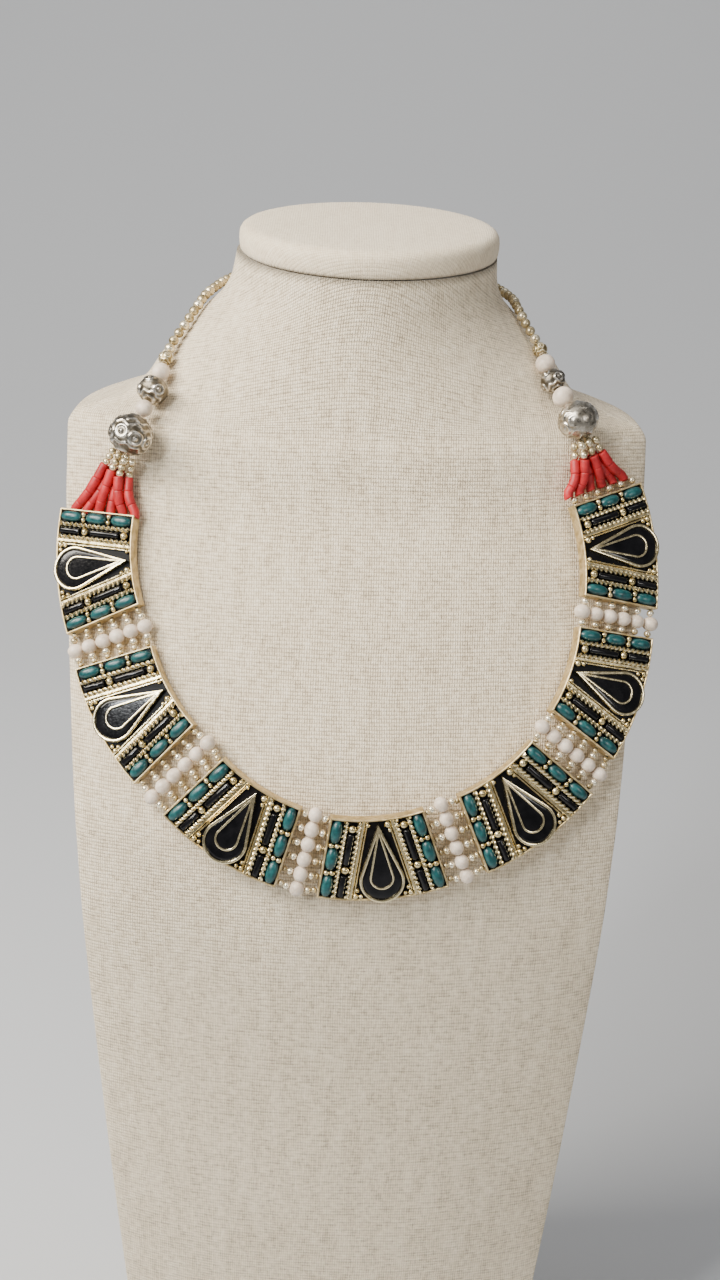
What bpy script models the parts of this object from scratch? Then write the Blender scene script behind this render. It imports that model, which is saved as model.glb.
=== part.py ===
"""A bib necklace of seven inlaid metal panels on bead strands, on the linen neck bust that holds it.

Metres, +Z up. The bust stands on Z = 0 with its neck over the origin. It faces -Y, so +X is the viewer's
right. Panel 1 is at the viewer's top left, panel 4 at the bottom and panel 7 at the top right.
"""

import math

import bmesh
import bpy
from mathutils import Matrix, Vector

MM = 0.001

# The gap between pieces that touch on the real necklace, and how far soldered wires sink into each other
CLEARANCE = 0.3 * MM
SOLDER = 0.1 * MM

# The bust
BUST_HEIGHT = 440 * MM
SHOULDER_WIDTH = 190 * MM
CHEST_FRONT = 108 * MM
NECK_BACK = 43.5 * MM
PAD_HEIGHT = 9 * MM
# The neck's top stands this far to the viewer's right, a lean that starts at a share of the bust's height
NECK_LEAN = 2 * MM
LEAN_FROM = 0.93
PAD_OVERHANG = 0.6 * MM
# The pad's rim: shares of PAD_HEIGHT, and how far it stands out as a share of PAD_OVERHANG
PAD_ROWS = ((0.0, -0.5), (0.25, 1.0), (0.6, 1.0), (0.88, -0.3), (1.0, -3.0))

# Shares of the sizes above: height of BUST_HEIGHT, half_width of half of SHOULDER_WIDTH, edge and front of
# CHEST_FRONT (how far forward the widest line and the middle lie), back of NECK_BACK. The rounds say how full
# the front and back halves of the section are: 1 is a parabola, 2 an ellipse, more is boxier.
BUST_COLUMNS = ("height", "half_width", "edge", "front", "back", "front_round", "back_round")
BUST_ROWS = (
    (0.000, 0.690, 0.770, 0.900, 0.46, 1.25, 2.6),
    (0.140, 0.754, 0.815, 0.945, 0.46, 1.25, 2.6),
    (0.340, 0.827, 0.860, 0.985, 0.47, 1.25, 2.6),
    (0.523, 0.886, 0.875, 1.000, 0.49, 1.25, 2.6),
    (0.595, 0.906, 0.845, 0.980, 0.52, 1.25, 2.6),
    (0.641, 0.922, 0.780, 0.937, 0.55, 1.25, 2.5),
    (0.686, 0.940, 0.675, 0.851, 0.60, 1.25, 2.5),
    (0.732, 0.960, 0.555, 0.750, 0.66, 1.25, 2.4),
    (0.777, 0.978, 0.432, 0.635, 0.73, 1.28, 2.3),
    (0.823, 0.992, 0.318, 0.522, 0.82, 1.32, 2.2),
    (0.860, 0.992, 0.262, 0.474, 0.88, 1.38, 2.1),
    (0.870, 0.965, 0.240, 0.450, 0.91, 1.44, 2.0),
    (0.875, 0.880, 0.218, 0.443, 0.93, 1.50, 2.0),
    (0.880, 0.800, 0.195, 0.436, 0.94, 1.60, 2.0),
    (0.889, 0.740, 0.160, 0.426, 0.95, 1.70, 2.0),
    (0.904, 0.688, 0.110, 0.408, 0.98, 1.75, 2.0),
    (0.920, 0.617, 0.050, 0.393, 1.00, 1.85, 2.0),
    (0.935, 0.547, 0.015, 0.383, 1.00, 1.95, 2.0),
    (0.946, 0.494, 0.000, 0.379, 1.00, 2.00, 2.0),
    (0.962, 0.460, -0.010, 0.376, 1.00, 2.00, 2.0),
    (1.000, 0.442, -0.014, 0.375, 1.00, 2.00, 2.0),
)
BUST_SIDES = 24
# Edges under this angle in degrees are shaded smooth: on the linen, and on everything else
LINEN_SMOOTH = 60.0
SMOOTH = 30.0
# Past this share of the half width a seat is taken on the tangent of the front, so it never turns edge on
SEAT_SHARE = 0.88

# A panel: part of a flat ring, from its inner edge (towards the neck) outwards
PANELS = 7
PANEL_SPAN = 28.0
INNER_RADIUS = 59.2 * MM
PANEL_RADIAL = 26.6 * MM
TRAY_DEPTH = 4.4 * MM
TRAY_FLOOR = 2.6 * MM
TRAY_WALL = 0.55 * MM
PANEL_STAND_OFF = 0.5 * MM
ARC_STEPS = 4

# What fills a panel, from each side edge towards its middle
STONE_WIDTH = 3.2 * MM
STONE_HEIGHT = 1.9 * MM
STONES = 3
STONE_SPACE = 1.9 * MM
# A cabochon's outline: shares along it, of its width and of its height
STONE_STATIONS = ((0.0, 0.55, 0.35), (0.22, 0.95, 0.9), (0.78, 0.95, 0.9), (1.0, 0.55, 0.35))
STONE_SECTION = ((-1.0, 0.0), (-0.6, 0.95), (0.6, 0.95), (1.0, 0.0))
ROPE_WIRE = 1.4 * MM
ROD = 2.1 * MM
BAND_WIRE = 1.1 * MM
INLAY_THICK = 0.4 * MM
GRANULE = 3.4 * MM
# Where the rods of a column start and end and where its granules sit, as shares from the outer edge
ROD_ENDS = ((0.05, 0.31), (0.45, 0.83))
GRANULE_AT = (0.38, 0.90)

# The drop in a panel's middle
DROP_LENGTH = 26.0 * MM
DROP_WIDTH = 14.2 * MM
DROP_PROUD = 0.6 * MM
BEZEL_WALL = 0.7 * MM
BEZEL_RISE = 0.8 * MM
DROP_STEPS = 6
INNER_DROP_WIDTH = 7.7 * MM
INNER_DROP_END = 4.4 * MM
INNER_WIRE = 0.6 * MM
DROP_SOFT = 0.27 * MM

# Where the middle panel sits: right of the bust's middle, how far below the edge of the shoulders, and its
# foot's swing to the right. The edge of the shoulders is at this share of BUST_HEIGHT.
COLLAR_SHIFT = 10.6 * MM
SHOULDER_AT = 0.860
COLLAR_DROP = 113.2 * MM
COLLAR_SWING = 5.7
# The six gaps from the viewer's left: length as a share of GAP_LENGTH, and the turn in degrees
GAP_LENGTH = 12.0 * MM
GAP_ROWS = (
    (1.03, -4.3),
    (1.12, -1.5),
    (0.97, 8.7),
    (1.04, 2.4),
    (0.99, 2.9),
    (0.79, -0.8),
)

# Strands between the panels
STRANDS = 6
HOLE_PITCH = 4.55 * MM
HOLE_HEIGHT = 2.4 * MM
GAP_BEAD = 5.2 * MM
BEAD_OVERLAP = 0.25 * MM
THREAD = 1.2 * MM
GAP_BEAD_SIDES = 10
GAP_BEAD_RINGS = 3
THREAD_SIDES = 4
STRAND_SIDES = 6

# The strands above the two top panels
CORAL_BEAD = 3.2 * MM
SEED_TUBE = 2.1 * MM
# Where the coral ends the strands lie in two layers, and so they do under the ornate bead: the pitch along
# the row and the depth from layer to layer, as shares of a strand's diameter. Their last stretch swells by a
# factor, which joins them and leaves no gap between three neighbours.
GATHER_PITCH = 0.52
GATHER_DEPTH = 0.9
GATHER_SWELL = 1.3
TOP_PITCH = 0.62
TOP_DEPTH = 1.05
TOP_SWELL = 1.5
# Beads of the single strand, from the fan upwards: name, diameter and length along the strand as shares of
# ORNATE, and form
ORNATE = 14.2 * MM
LEFT_BEADS = (
    ("ornate_bead", 1.0, 0.96, "carved"),
    ("white_bead_1", 0.38, 0.42, "round"),
    ("carved_bead", 0.72, 0.62, "carved"),
    ("white_bead_2", 0.40, 0.46, "round"),
    ("small_carved_bead", 0.34, 0.36, "round"),
)
RIGHT_BEADS = (
    ("ornate_bead", 0.92, 0.88, "carved"),
    ("white_bead_1", 0.49, 0.47, "round"),
    ("carved_bead", 0.60, 0.54, "carved"),
    ("white_bead_2", 0.45, 0.46, "round"),
    ("small_carved_bead", 0.35, 0.36, "round"),
)
BEAD_SIDES = 12
BEAD_RINGS = 5
CARVED_SIDES = 16
CARVED_RINGS = 7
CARVED_RELIEF = 0.05
STRING_BEAD = 3.5 * MM
STRING_STEPS = 18
CLASP_LENGTH = 14 * MM
CLASP_WIDTH = 7 * MM
CLASP_THICK = 2.5 * MM
# Places along the clasp and its width there, as shares
CLASP_STATIONS = ((-0.5, 0.5), (-0.3, 1.0), (0.3, 1.0), (0.5, 0.5))

# The strand's few chosen points above a top panel: turn round the bust from its front in degrees, height as
# a share of BUST_HEIGHT, and how far its line stands off the linen as a share of ORNATE. The first is at the
# top of the coral fan, the second in the ornate bead, and the last behind the neck.
LEFT_ROUTE = (
    (-52.9, 0.8350, 0.26),
    (-47.4, 0.8600, 0.53),
    (-60.0, 0.8840, 0.38),
    (-72.0, 0.9100, 0.18),
    (-77.0, 0.9230, 0.16),
    (-84.0, 0.9330, 0.15),
    (-97.0, 0.9400, 0.15),
    (-122.0, 0.9445, 0.15),
    (-152.0, 0.9450, 0.15),
    (-180.0, 0.9450, 0.15),
)
RIGHT_ROUTE = (
    (50.0, 0.8560, 0.26),
    (49.0, 0.8715, 0.50),
    (62.0, 0.8970, 0.33),
    (72.0, 0.9200, 0.18),
    (77.0, 0.9310, 0.16),
    (86.0, 0.9390, 0.15),
    (99.0, 0.9425, 0.15),
    (122.0, 0.9445, 0.15),
    (152.0, 0.9450, 0.15),
    (180.0, 0.9450, 0.15),
)
ROUTE_STEPS = 12


def clear_scene():
    for old in list(bpy.data.objects):
        bpy.data.objects.remove(old, do_unlink=True)


def material(name, color, roughness, metallic=0.0):
    made = bpy.data.materials.new(name)
    made.use_nodes = True
    shader = made.node_tree.nodes["Principled BSDF"]
    shader.inputs["Base Color"].default_value = (*color, 1.0)
    shader.inputs["Roughness"].default_value = roughness
    shader.inputs["Metallic"].default_value = metallic
    return made


def new_object(name, mesh, finish, smooth=SMOOTH):
    made = bpy.data.objects.new(name, mesh)
    bpy.context.scene.collection.objects.link(made)
    mesh.materials.clear()
    mesh.materials.append(finish)
    mesh.shade_smooth()
    mesh.set_sharp_from_angle(angle=math.radians(smooth))
    return made


def mesh_from(bm, name):
    bmesh.ops.recalc_face_normals(bm, faces=bm.faces)
    mesh = bpy.data.meshes.new(name)
    bm.to_mesh(mesh)
    bm.free()
    return mesh


def loft(bm, loops):
    """Joins rings of points of one count with faces, and closes the first and last ring."""
    rings = [[bm.verts.new(point) for point in loop] for loop in loops]
    count = len(rings[0])
    for low, high in zip(rings, rings[1:]):
        for k in range(count):
            after = (k + 1) % count
            bm.faces.new((low[k], low[after], high[after], high[k]))
    bm.faces.new(list(reversed(rings[0])))
    bm.faces.new(rings[-1])


def islands(bm):
    """The groups of faces that hang together."""
    left = set(bm.faces)
    found = []
    while left:
        waiting = [left.pop()]
        group = []
        while waiting:
            face = waiting.pop()
            group.append(face)
            for edge in face.edges:
                for other in edge.link_faces:
                    if other in left:
                        left.remove(other)
                        waiting.append(other)
        found.append(group)
    return found


def fill_hollows(mesh):
    """Takes out the walls of sealed hollows, such as a union leaves between round tubes that meet."""
    bm = bmesh.new()
    bm.from_mesh(mesh)
    for group in islands(bm):
        volume = sum(face.normal.dot(face.verts[0].co) * face.calc_area() for face in group)
        if volume < 0:
            bmesh.ops.delete(bm, geom=group, context="FACES")
    bm.to_mesh(mesh)
    bm.free()


def combined(name, meshes, operation):
    """The first mesh with all the others added to it or cut from it, by a Boolean."""
    bm = bmesh.new()
    for mesh in meshes[1:]:
        bm.from_mesh(mesh)
    others = bpy.data.objects.new(name + "_others", mesh_from(bm, name + "_others"))
    base = bpy.data.objects.new(name + "_base", meshes[0])
    for made in (others, base):
        bpy.context.scene.collection.objects.link(made)
    boolean = base.modifiers.new("boolean", "BOOLEAN")
    boolean.operation = operation
    boolean.solver = "EXACT"
    boolean.use_self = operation == "UNION"
    boolean.object = others
    bpy.context.view_layer.update()
    graph = bpy.context.evaluated_depsgraph_get()
    result = bpy.data.meshes.new_from_object(base.evaluated_get(graph))
    for made in (others, base):
        bpy.data.objects.remove(made, do_unlink=True)
    return result


def fused(name, meshes):
    """One mesh from several closed ones that overlap."""
    result = combined(name, meshes, "UNION")
    fill_hollows(result)
    return result


def tube(points, radii, sides, name, corner=None):
    """A closed tube along points, with a radius at each. One corner points along corner."""
    bm = bmesh.new()
    loops = []
    across = corner
    for k, point in enumerate(points):
        ahead = points[min(k + 1, len(points) - 1)]
        behind = points[max(k - 1, 0)]
        along = (ahead - behind).normalized()
        if across is None:
            across = along.orthogonal().normalized()
        across = (across - along * across.dot(along)).normalized()
        other = along.cross(across)
        ring = []
        for side in range(sides):
            angle = 2 * math.pi * side / sides
            ring.append(point + (across * math.cos(angle) + other * math.sin(angle)) * radii[k])
        loops.append(ring)
    loft(bm, loops)
    return mesh_from(bm, name)


def smooth_curve(points, steps):
    """Points on a Catmull-Rom curve through the given ones."""
    ends = [points[0] * 2 - points[1]] + list(points) + [points[-1] * 2 - points[-2]]
    found = []
    for k in range(1, len(ends) - 2):
        before, start, end, after = ends[k - 1 : k + 3]
        for step in range(steps):
            t = step / steps
            found.append(
                start
                + (end - before) * (t / 2)
                + (before * 2 - start * 5 + end * 4 - after) * (t * t / 2)
                + (start * 3 - before - end * 3 + after) * (t ** 3 / 2)
            )
    found.append(points[-1].copy())
    return found


def along_curve(points, distance):
    """The point and direction at a distance along a run of points."""
    for start, end in zip(points, points[1:]):
        length = (end - start).length
        if distance <= length:
            return start.lerp(end, distance / length), (end - start).normalized()
        distance -= length
    return points[-1].copy(), (points[-1] - points[-2]).normalized()


def curve_length(points):
    return sum((end - start).length for start, end in zip(points, points[1:]))


# The bust's surface


def bust_value(column, height):
    """One column of BUST_ROWS at a height, on a curve through the rows that never overshoots them."""
    heights = [row[0] * BUST_HEIGHT for row in BUST_ROWS]
    values = [row[BUST_COLUMNS.index(column)] for row in BUST_ROWS]
    height = min(max(height, heights[0]), heights[-1])
    k = 0
    while k < len(heights) - 2 and height > heights[k + 1]:
        k += 1
    slopes = [(values[j + 1] - values[j]) / (heights[j + 1] - heights[j]) for j in range(len(heights) - 1)]

    def slope_at(j):
        if j == 0 or j == len(heights) - 1:
            return slopes[min(j, len(slopes) - 1)]
        if slopes[j - 1] * slopes[j] <= 0:
            return 0.0
        return 2 * slopes[j - 1] * slopes[j] / (slopes[j - 1] + slopes[j])

    span = heights[k + 1] - heights[k]
    t = (height - heights[k]) / span
    return (
        values[k] * (1 + 2 * t) * (1 - t) ** 2
        + values[k + 1] * (3 - 2 * t) * t * t
        + span * (slope_at(k) * t * (1 - t) ** 2 - slope_at(k + 1) * (1 - t) * t * t)
    )


def bust_sizes(height):
    half_width = bust_value("half_width", height) * SHOULDER_WIDTH / 2
    edge = bust_value("edge", height) * CHEST_FRONT
    front = bust_value("front", height) * CHEST_FRONT
    back = bust_value("back", height) * NECK_BACK
    return half_width, edge, front, back


def bust_point(turn, height):
    """A point of the bust's section at a height. Turn 0 is the front, 90 the viewer's right, 180 the back."""
    half_width, edge, front, back = bust_sizes(height)
    sine, cosine = math.sin(math.radians(turn)), math.cos(math.radians(turn))
    lean = NECK_LEAN * max(height / BUST_HEIGHT - LEAN_FROM, 0.0) / (1 - LEAN_FROM)
    if cosine >= 0:
        fullness = bust_value("front_round", height)
        return Vector((half_width * sine + lean, -edge - (front - edge) * cosine ** (2 / fullness), height))
    fullness = bust_value("back_round", height)
    side = math.copysign(abs(sine) ** (2 / fullness), sine)
    return Vector((half_width * side + lean, -edge + (back + edge) * (-cosine) ** (2 / fullness), height))


def bust_outward(turn, height):
    """The direction that the linen faces at a point of a section."""
    step = 1.0
    rise = 1 * MM
    round_it = bust_point(turn + step, height) - bust_point(turn - step, height)
    up_it = bust_point(turn, height + rise) - bust_point(turn, height - rise)
    return round_it.cross(up_it).normalized()


def front_depth(x, height):
    """How far forward the bust's front lies at x, carried on along its tangent near and past the edge."""
    half_width, edge, front, _ = bust_sizes(height)
    power = 1 / bust_value("front_round", height)
    share = min(abs(x) / half_width, SEAT_SHARE)
    depth = edge + (front - edge) * (1 - share * share) ** power
    slope = (front - edge) * power * (1 - share * share) ** (power - 1) * -2 * share / half_width
    return depth + slope * (abs(x) - share * half_width)


def seat(x, height, lift):
    """A point at a distance off the bust's front, and the direction that the front faces there."""
    step = 0.5 * MM
    across = (front_depth(x + step, height) - front_depth(x - step, height)) / (2 * step)
    up = (front_depth(x, height + step) - front_depth(x, height - step)) / (2 * step)
    facing = Vector((-across, -1.0, -up)).normalized()
    return Vector((x, -front_depth(x, height), height)) + facing * lift, facing


# The collar's layout: each panel's frame has X along the collar to the viewer's right, Y towards the neck and
# Z off the bust. Its origin is at half of the panel's radial size, on its back.


def frame_at(origin, inward, facing):
    inward = (inward - facing * inward.dot(facing)).normalized()
    along = inward.cross(facing)
    turned = Matrix((along, inward, facing)).transposed().to_4x4()
    turned.translation = origin
    return turned


def turned_about(direction, axis, degrees):
    return Matrix.Rotation(math.radians(degrees), 3, axis) @ direction


def next_panel(frame, side, length, turn):
    """The frame of the panel past a gap: side is 1 for the one on the viewer's right, -1 for the left."""
    middle = INNER_RADIUS + PANEL_RADIAL / 2
    facing = frame.col[2].to_3d()
    inward = frame.col[1].to_3d()
    centre = frame.translation + inward * middle
    # The gap's middle, and the direction of the strands there, as this panel sees them
    edge_in = turned_about(inward, facing, side * PANEL_SPAN / 2)
    leaving = turned_about(frame.col[0].to_3d() * side, facing, side * (PANEL_SPAN + turn) / 2)
    gap_middle = centre - edge_in * middle + leaving * (length / 2)
    guess = gap_middle + leaving * (length / 2 + middle * math.sin(math.radians(PANEL_SPAN / 2)))
    for _ in range(8):
        origin, facing = seat(guess.x, guess.z, TRAY_DEPTH + PANEL_STAND_OFF)
        entering = (leaving - facing * leaving.dot(facing)).normalized()
        entering = turned_about(entering, facing, side * turn / 2)
        edge_in = facing.cross(entering) * side
        inward = turned_about(edge_in, facing, side * PANEL_SPAN / 2)
        centre = origin + inward * middle
        seen = centre - edge_in * middle - entering * (length / 2)
        guess = guess + (gap_middle - seen)
    return frame_at(origin, inward, facing)


def face_frames():
    """The seven frames at the height of the panels' faces, from the middle one outwards both ways."""
    height = SHOULDER_AT * BUST_HEIGHT - COLLAR_DROP
    origin, facing = seat(COLLAR_SHIFT, height, TRAY_DEPTH + PANEL_STAND_OFF)
    swing = math.radians(COLLAR_SWING)
    middle = frame_at(origin, Vector((-math.sin(swing), 0.0, math.cos(swing))), facing)
    half = PANELS // 2
    frames = {half: middle}
    for side in (-1, 1):
        for step in range(half):
            index = half + side * step
            length, turn = GAP_ROWS[index if side == 1 else index - 1]
            frames[index + side] = next_panel(frames[index], side, length * GAP_LENGTH, turn)
    return [frames[k] for k in sorted(frames)]


def panel_frames():
    """The frames on the panels' backs, each raised until its back is clear of the linen."""
    placed = []
    for frame in face_frames():
        facing = frame.col[2].to_3d()
        base = frame.copy()
        base.translation = frame.translation - facing * TRAY_DEPTH
        low = PANEL_STAND_OFF
        for angle in (-1.0, -0.5, 0.0, 0.5, 1.0):
            for share in (0.0, 0.5, 1.0):
                local = ring_point(INNER_RADIUS + PANEL_RADIAL * share, angle * PANEL_SPAN / 2)
                point = base @ local
                height = (-point.y - front_depth(point.x, point.z)) * -facing.y
                low = min(low, height)
        base.translation += facing * (PANEL_STAND_OFF - low)
        placed.append(base)
    return placed


# One panel in its own frame


def ring_point(radius, degrees, height=0.0):
    angle = math.radians(degrees)
    middle = INNER_RADIUS + PANEL_RADIAL / 2
    return Vector((radius * math.sin(angle), middle - radius * math.cos(angle), height))


def side_point(radius, offset, side, height=0.0):
    """A point at a radius and a distance in from a side edge: side 1 is the viewer's right, -1 the left."""
    angle = PANEL_SPAN / 2 - math.degrees(math.asin(offset / radius))
    return ring_point(radius, side * angle, height)


def sector(inset, height):
    """The panel's outline, drawn in by an inset."""
    outer = INNER_RADIUS + PANEL_RADIAL - inset
    inner = INNER_RADIUS + inset
    points = []
    for radius, order in ((outer, 1), (inner, -1)):
        half = PANEL_SPAN / 2 - math.degrees(math.asin(inset / radius))
        for step in range(ARC_STEPS + 1):
            share = step / ARC_STEPS * 2 - 1
            points.append(ring_point(radius, order * share * half, height))
    return points


# Distances of the columns from the side edge, each from the one before
STONE_AT = TRAY_WALL + CLEARANCE + STONE_WIDTH / 2
ROPE_AT = TRAY_WALL + 2 * CLEARANCE + STONE_WIDTH + ROPE_WIRE / 2
ROD_AT = ROPE_AT + ROPE_WIRE / 2 + CLEARANCE + ROD / 2
SECOND_ROPE_AT = ROD_AT + ROD / 2 + CLEARANCE + ROPE_WIRE / 2
BAND_AT = SECOND_ROPE_AT + ROPE_WIRE / 2 + BAND_WIRE / 2 - SOLDER
# Heights over the tray's back
INLAY_LOW = TRAY_FLOOR + CLEARANCE
INLAY_TOP = INLAY_LOW + INLAY_THICK
PIECE_LOW = INLAY_TOP + CLEARANCE
DROP_TOP = PIECE_LOW + BEZEL_RISE
BEZEL_TOP = DROP_TOP + CLEARANCE + INNER_WIRE


def tray_shell():
    bm = bmesh.new()
    loft(
        bm,
        (
            sector(0.0, 0.0),
            sector(0.0, TRAY_DEPTH),
            sector(TRAY_WALL, TRAY_DEPTH),
            sector(TRAY_WALL, TRAY_FLOOR),
        ),
    )
    # The drop stands proud of the outer wall, which is open there
    notch = bmesh.new()
    grow = -BEZEL_WALL / 2
    loft(notch, (outer_drop(PIECE_LOW - CLEARANCE, grow), outer_drop(BEZEL_TOP, grow)))
    return combined("tray_shell", [mesh_from(bm, "tray"), mesh_from(notch, "notch")], "DIFFERENCE")


def column_wire(offset, side, width, low, high, name):
    """A straight wire along a column, from the inner wall to the outer one, with a section of five sides."""
    bm = bmesh.new()
    loops = []
    reach = TRAY_WALL / 2
    for radius in (INNER_RADIUS + reach, INNER_RADIUS + PANEL_RADIAL - reach):
        middle = (low + high) / 2
        section = ((-0.5, middle), (-0.25, high), (0.25, high), (0.5, middle), (0.0, low))
        loops.append([side_point(radius, offset + share * width, side, height) for share, height in section])
    loft(bm, loops)
    return mesh_from(bm, name)


def granule(centre, diameter, sides=6):
    """A ball of metal soldered between two rope wires, flattened beneath so that it stays over the ground."""
    bm = bmesh.new()
    bmesh.ops.create_uvsphere(bm, u_segments=sides, v_segments=3, radius=diameter / 2)
    for vert in bm.verts:
        if vert.co.z < 0:
            vert.co.z *= (ROPE_WIRE - SOLDER) / diameter
    bmesh.ops.translate(bm, verts=bm.verts, vec=centre)
    return mesh_from(bm, "granule")


def drop_outline(length, width, end, height, grow=0.0):
    """A drop with its round end at a distance from the panel's outer edge and its tip towards the neck."""
    radius = width / 2 + grow
    foot = -PANEL_RADIAL / 2 - end
    centre = foot + width / 2
    tip = foot + length
    lean = math.acos(min((width / 2) / (tip - centre), 1.0))
    points = [Vector((0.0, tip + grow / math.sin(math.pi / 2 - lean), height))]
    sweep = 2 * math.pi - 2 * lean
    for step in range(DROP_STEPS + 1):
        angle = math.pi / 2 + lean + sweep * step / DROP_STEPS
        points.append(Vector((radius * math.cos(angle), centre + radius * math.sin(angle), height)))
    return points


def outer_drop(height, grow):
    return drop_outline(DROP_LENGTH, DROP_WIDTH, DROP_PROUD, height, grow)


def inner_drop(height, grow):
    length = DROP_LENGTH - INNER_DROP_END - BEZEL_WALL
    return drop_outline(length, INNER_DROP_WIDTH, DROP_PROUD - INNER_DROP_END, height, grow)


def drop_ring(shape, wall, low, high, name):
    """A wire bent round a drop."""
    bm = bmesh.new()
    rings = (shape(low, 0.0), shape(high, 0.0), shape(high, -wall), shape(low, -wall))
    verts = [[bm.verts.new(point) for point in ring] for ring in rings]
    count = len(verts[0])
    for k in range(len(verts)):
        one, two = verts[k], verts[(k + 1) % len(verts)]
        for j in range(count):
            after = (j + 1) % count
            bm.faces.new((one[j], one[after], two[after], two[j]))
    return mesh_from(bm, name)


def tray_mesh():
    """The soldered metal of one panel: tray, rope and band wires, granules and the drop's bezel."""
    parts = [tray_shell()]
    wire_high = PIECE_LOW + ROPE_WIRE
    outer = INNER_RADIUS + PANEL_RADIAL
    for side in (-1, 1):
        for offset in (ROPE_AT, SECOND_ROPE_AT):
            parts.append(column_wire(offset, side, ROPE_WIRE, PIECE_LOW, wire_high, "rope"))
        parts.append(column_wire(BAND_AT, side, BAND_WIRE, PIECE_LOW, DROP_TOP, "band"))
        for share in GRANULE_AT:
            centre = side_point(outer - PANEL_RADIAL * share, ROD_AT, side, PIECE_LOW + ROPE_WIRE / 2)
            parts.append(granule(centre, GRANULE))
    parts.append(drop_ring(outer_drop, BEZEL_WALL, PIECE_LOW, BEZEL_TOP, "bezel"))
    parts.append(drop_ring(inner_drop, INNER_WIRE, DROP_TOP + CLEARANCE, BEZEL_TOP + SOLDER, "inner_wire"))
    return fused("panel_tray", parts)


def rod(start, end, side):
    """A round rod along its column, half sunk in the black ground."""
    bm = bmesh.new()
    outer = INNER_RADIUS + PANEL_RADIAL
    top = INLAY_TOP + ROD
    low = INLAY_LOW + INLAY_THICK / 2
    shoulder = INLAY_TOP + ROD / 2
    section = ((-0.5, low), (-0.5, shoulder), (0.0, top), (0.5, shoulder), (0.5, low))
    loops = []
    for share in (start, end):
        radius = outer - PANEL_RADIAL * share
        loops.append([side_point(radius, ROD_AT + across * ROD, side, height) for across, height in section])
    loft(bm, loops)
    return mesh_from(bm, "rod")


def inlay_mesh():
    """The black ground that fills the tray, with its rods."""
    bm = bmesh.new()
    inset = TRAY_WALL + CLEARANCE
    loft(bm, (sector(inset, INLAY_LOW), sector(inset, INLAY_TOP)))
    parts = [mesh_from(bm, "ground")]
    for side in (-1, 1):
        for start, end in ROD_ENDS:
            parts.append(rod(start, end, side))
    return fused("panel_inlay", parts)


def drop_mesh():
    """The black drop, with a softened top edge."""
    bm = bmesh.new()
    inset = BEZEL_WALL + CLEARANCE
    loft(
        bm,
        (
            outer_drop(PIECE_LOW, -inset),
            outer_drop(DROP_TOP - DROP_SOFT, -inset),
            outer_drop(DROP_TOP, -inset - DROP_SOFT),
        ),
    )
    return mesh_from(bm, "teardrop")


def stone_row_mesh(side):
    """A row of oval cabochons on one strip, along a side edge."""
    bm = bmesh.new()
    inset = TRAY_WALL + CLEARANCE
    run = PANEL_RADIAL - 2 * inset
    length = (run - (STONES - 1) * STONE_SPACE) / STONES
    stations = []
    for stone in range(STONES):
        start = stone * (length + STONE_SPACE)
        for share, width, height in STONE_STATIONS:
            stations.append((start + share * length, width, height))
    loops = []
    for distance, width, height in stations:
        radius = INNER_RADIUS + inset + distance
        half = STONE_WIDTH / 2 * width
        ring = []
        for across, up in STONE_SECTION:
            top = PIECE_LOW + up * STONE_HEIGHT * height
            ring.append(side_point(radius, STONE_AT + across * half, side, top))
        loops.append(ring)
    loft(bm, loops)
    return mesh_from(bm, "stone_row")


def build_panels(frames, finishes):
    tray, inlay, drop = tray_mesh(), inlay_mesh(), drop_mesh()
    rows = {"a": stone_row_mesh(-1), "b": stone_row_mesh(1)}
    for number, frame in enumerate(frames, 1):
        pieces = [
            (f"panel_tray_{number}", tray, "metal"),
            (f"panel_inlay_{number}", inlay, "black"),
            (f"teardrop_{number}", drop, "black"),
        ]
        for letter, mesh in rows.items():
            pieces.append((f"stone_row_{number}{letter}", mesh, "teal"))
        for name, mesh, finish in pieces:
            made = new_object(name, mesh.copy(), finishes[finish])
            made.matrix_world = frame


# Beads and strands


def hole(frame, side, index):
    """Where a strand leaves a panel's side wall. Index 0 is nearest the neck."""
    outward = (index - (STRANDS - 1) / 2) * HOLE_PITCH
    radius = INNER_RADIUS + PANEL_RADIAL / 2 + outward
    wall = frame @ side_point(radius, 0.0, side, HOLE_HEIGHT)
    turned = Matrix.Rotation(math.radians(side * PANEL_SPAN / 2), 3, "Z")
    leaving = frame.to_3x3() @ turned @ Vector((side, 0.0, 0.0))
    return wall + leaving * CLEARANCE, leaving


def bead_mesh(centre, along, diameter, length, sides, rings, relief=0.0, corner=None):
    """A round or oval bead. Relief raises lobes, as on a carved bead. One corner points along corner."""
    bm = bmesh.new()
    along = along.normalized()
    across = corner if corner else along.orthogonal()
    across = (across - along * across.dot(along)).normalized()
    other = along.cross(across)
    loops = []
    for ring in range(rings):
        latitude = math.pi * ((ring + 0.5) / rings - 0.5)
        points = []
        for side in range(sides):
            angle = 2 * math.pi * side / sides
            raised = 1 + relief * math.cos(4 * angle + (ring % 2) * math.pi)
            reach = math.cos(latitude) * diameter / 2 * raised
            turned = across * math.cos(angle) + other * math.sin(angle)
            points.append(centre + along * (math.sin(latitude) * length / 2) + turned * reach)
        loops.append(points)
    loft(bm, loops)
    return mesh_from(bm, "bead")


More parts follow.
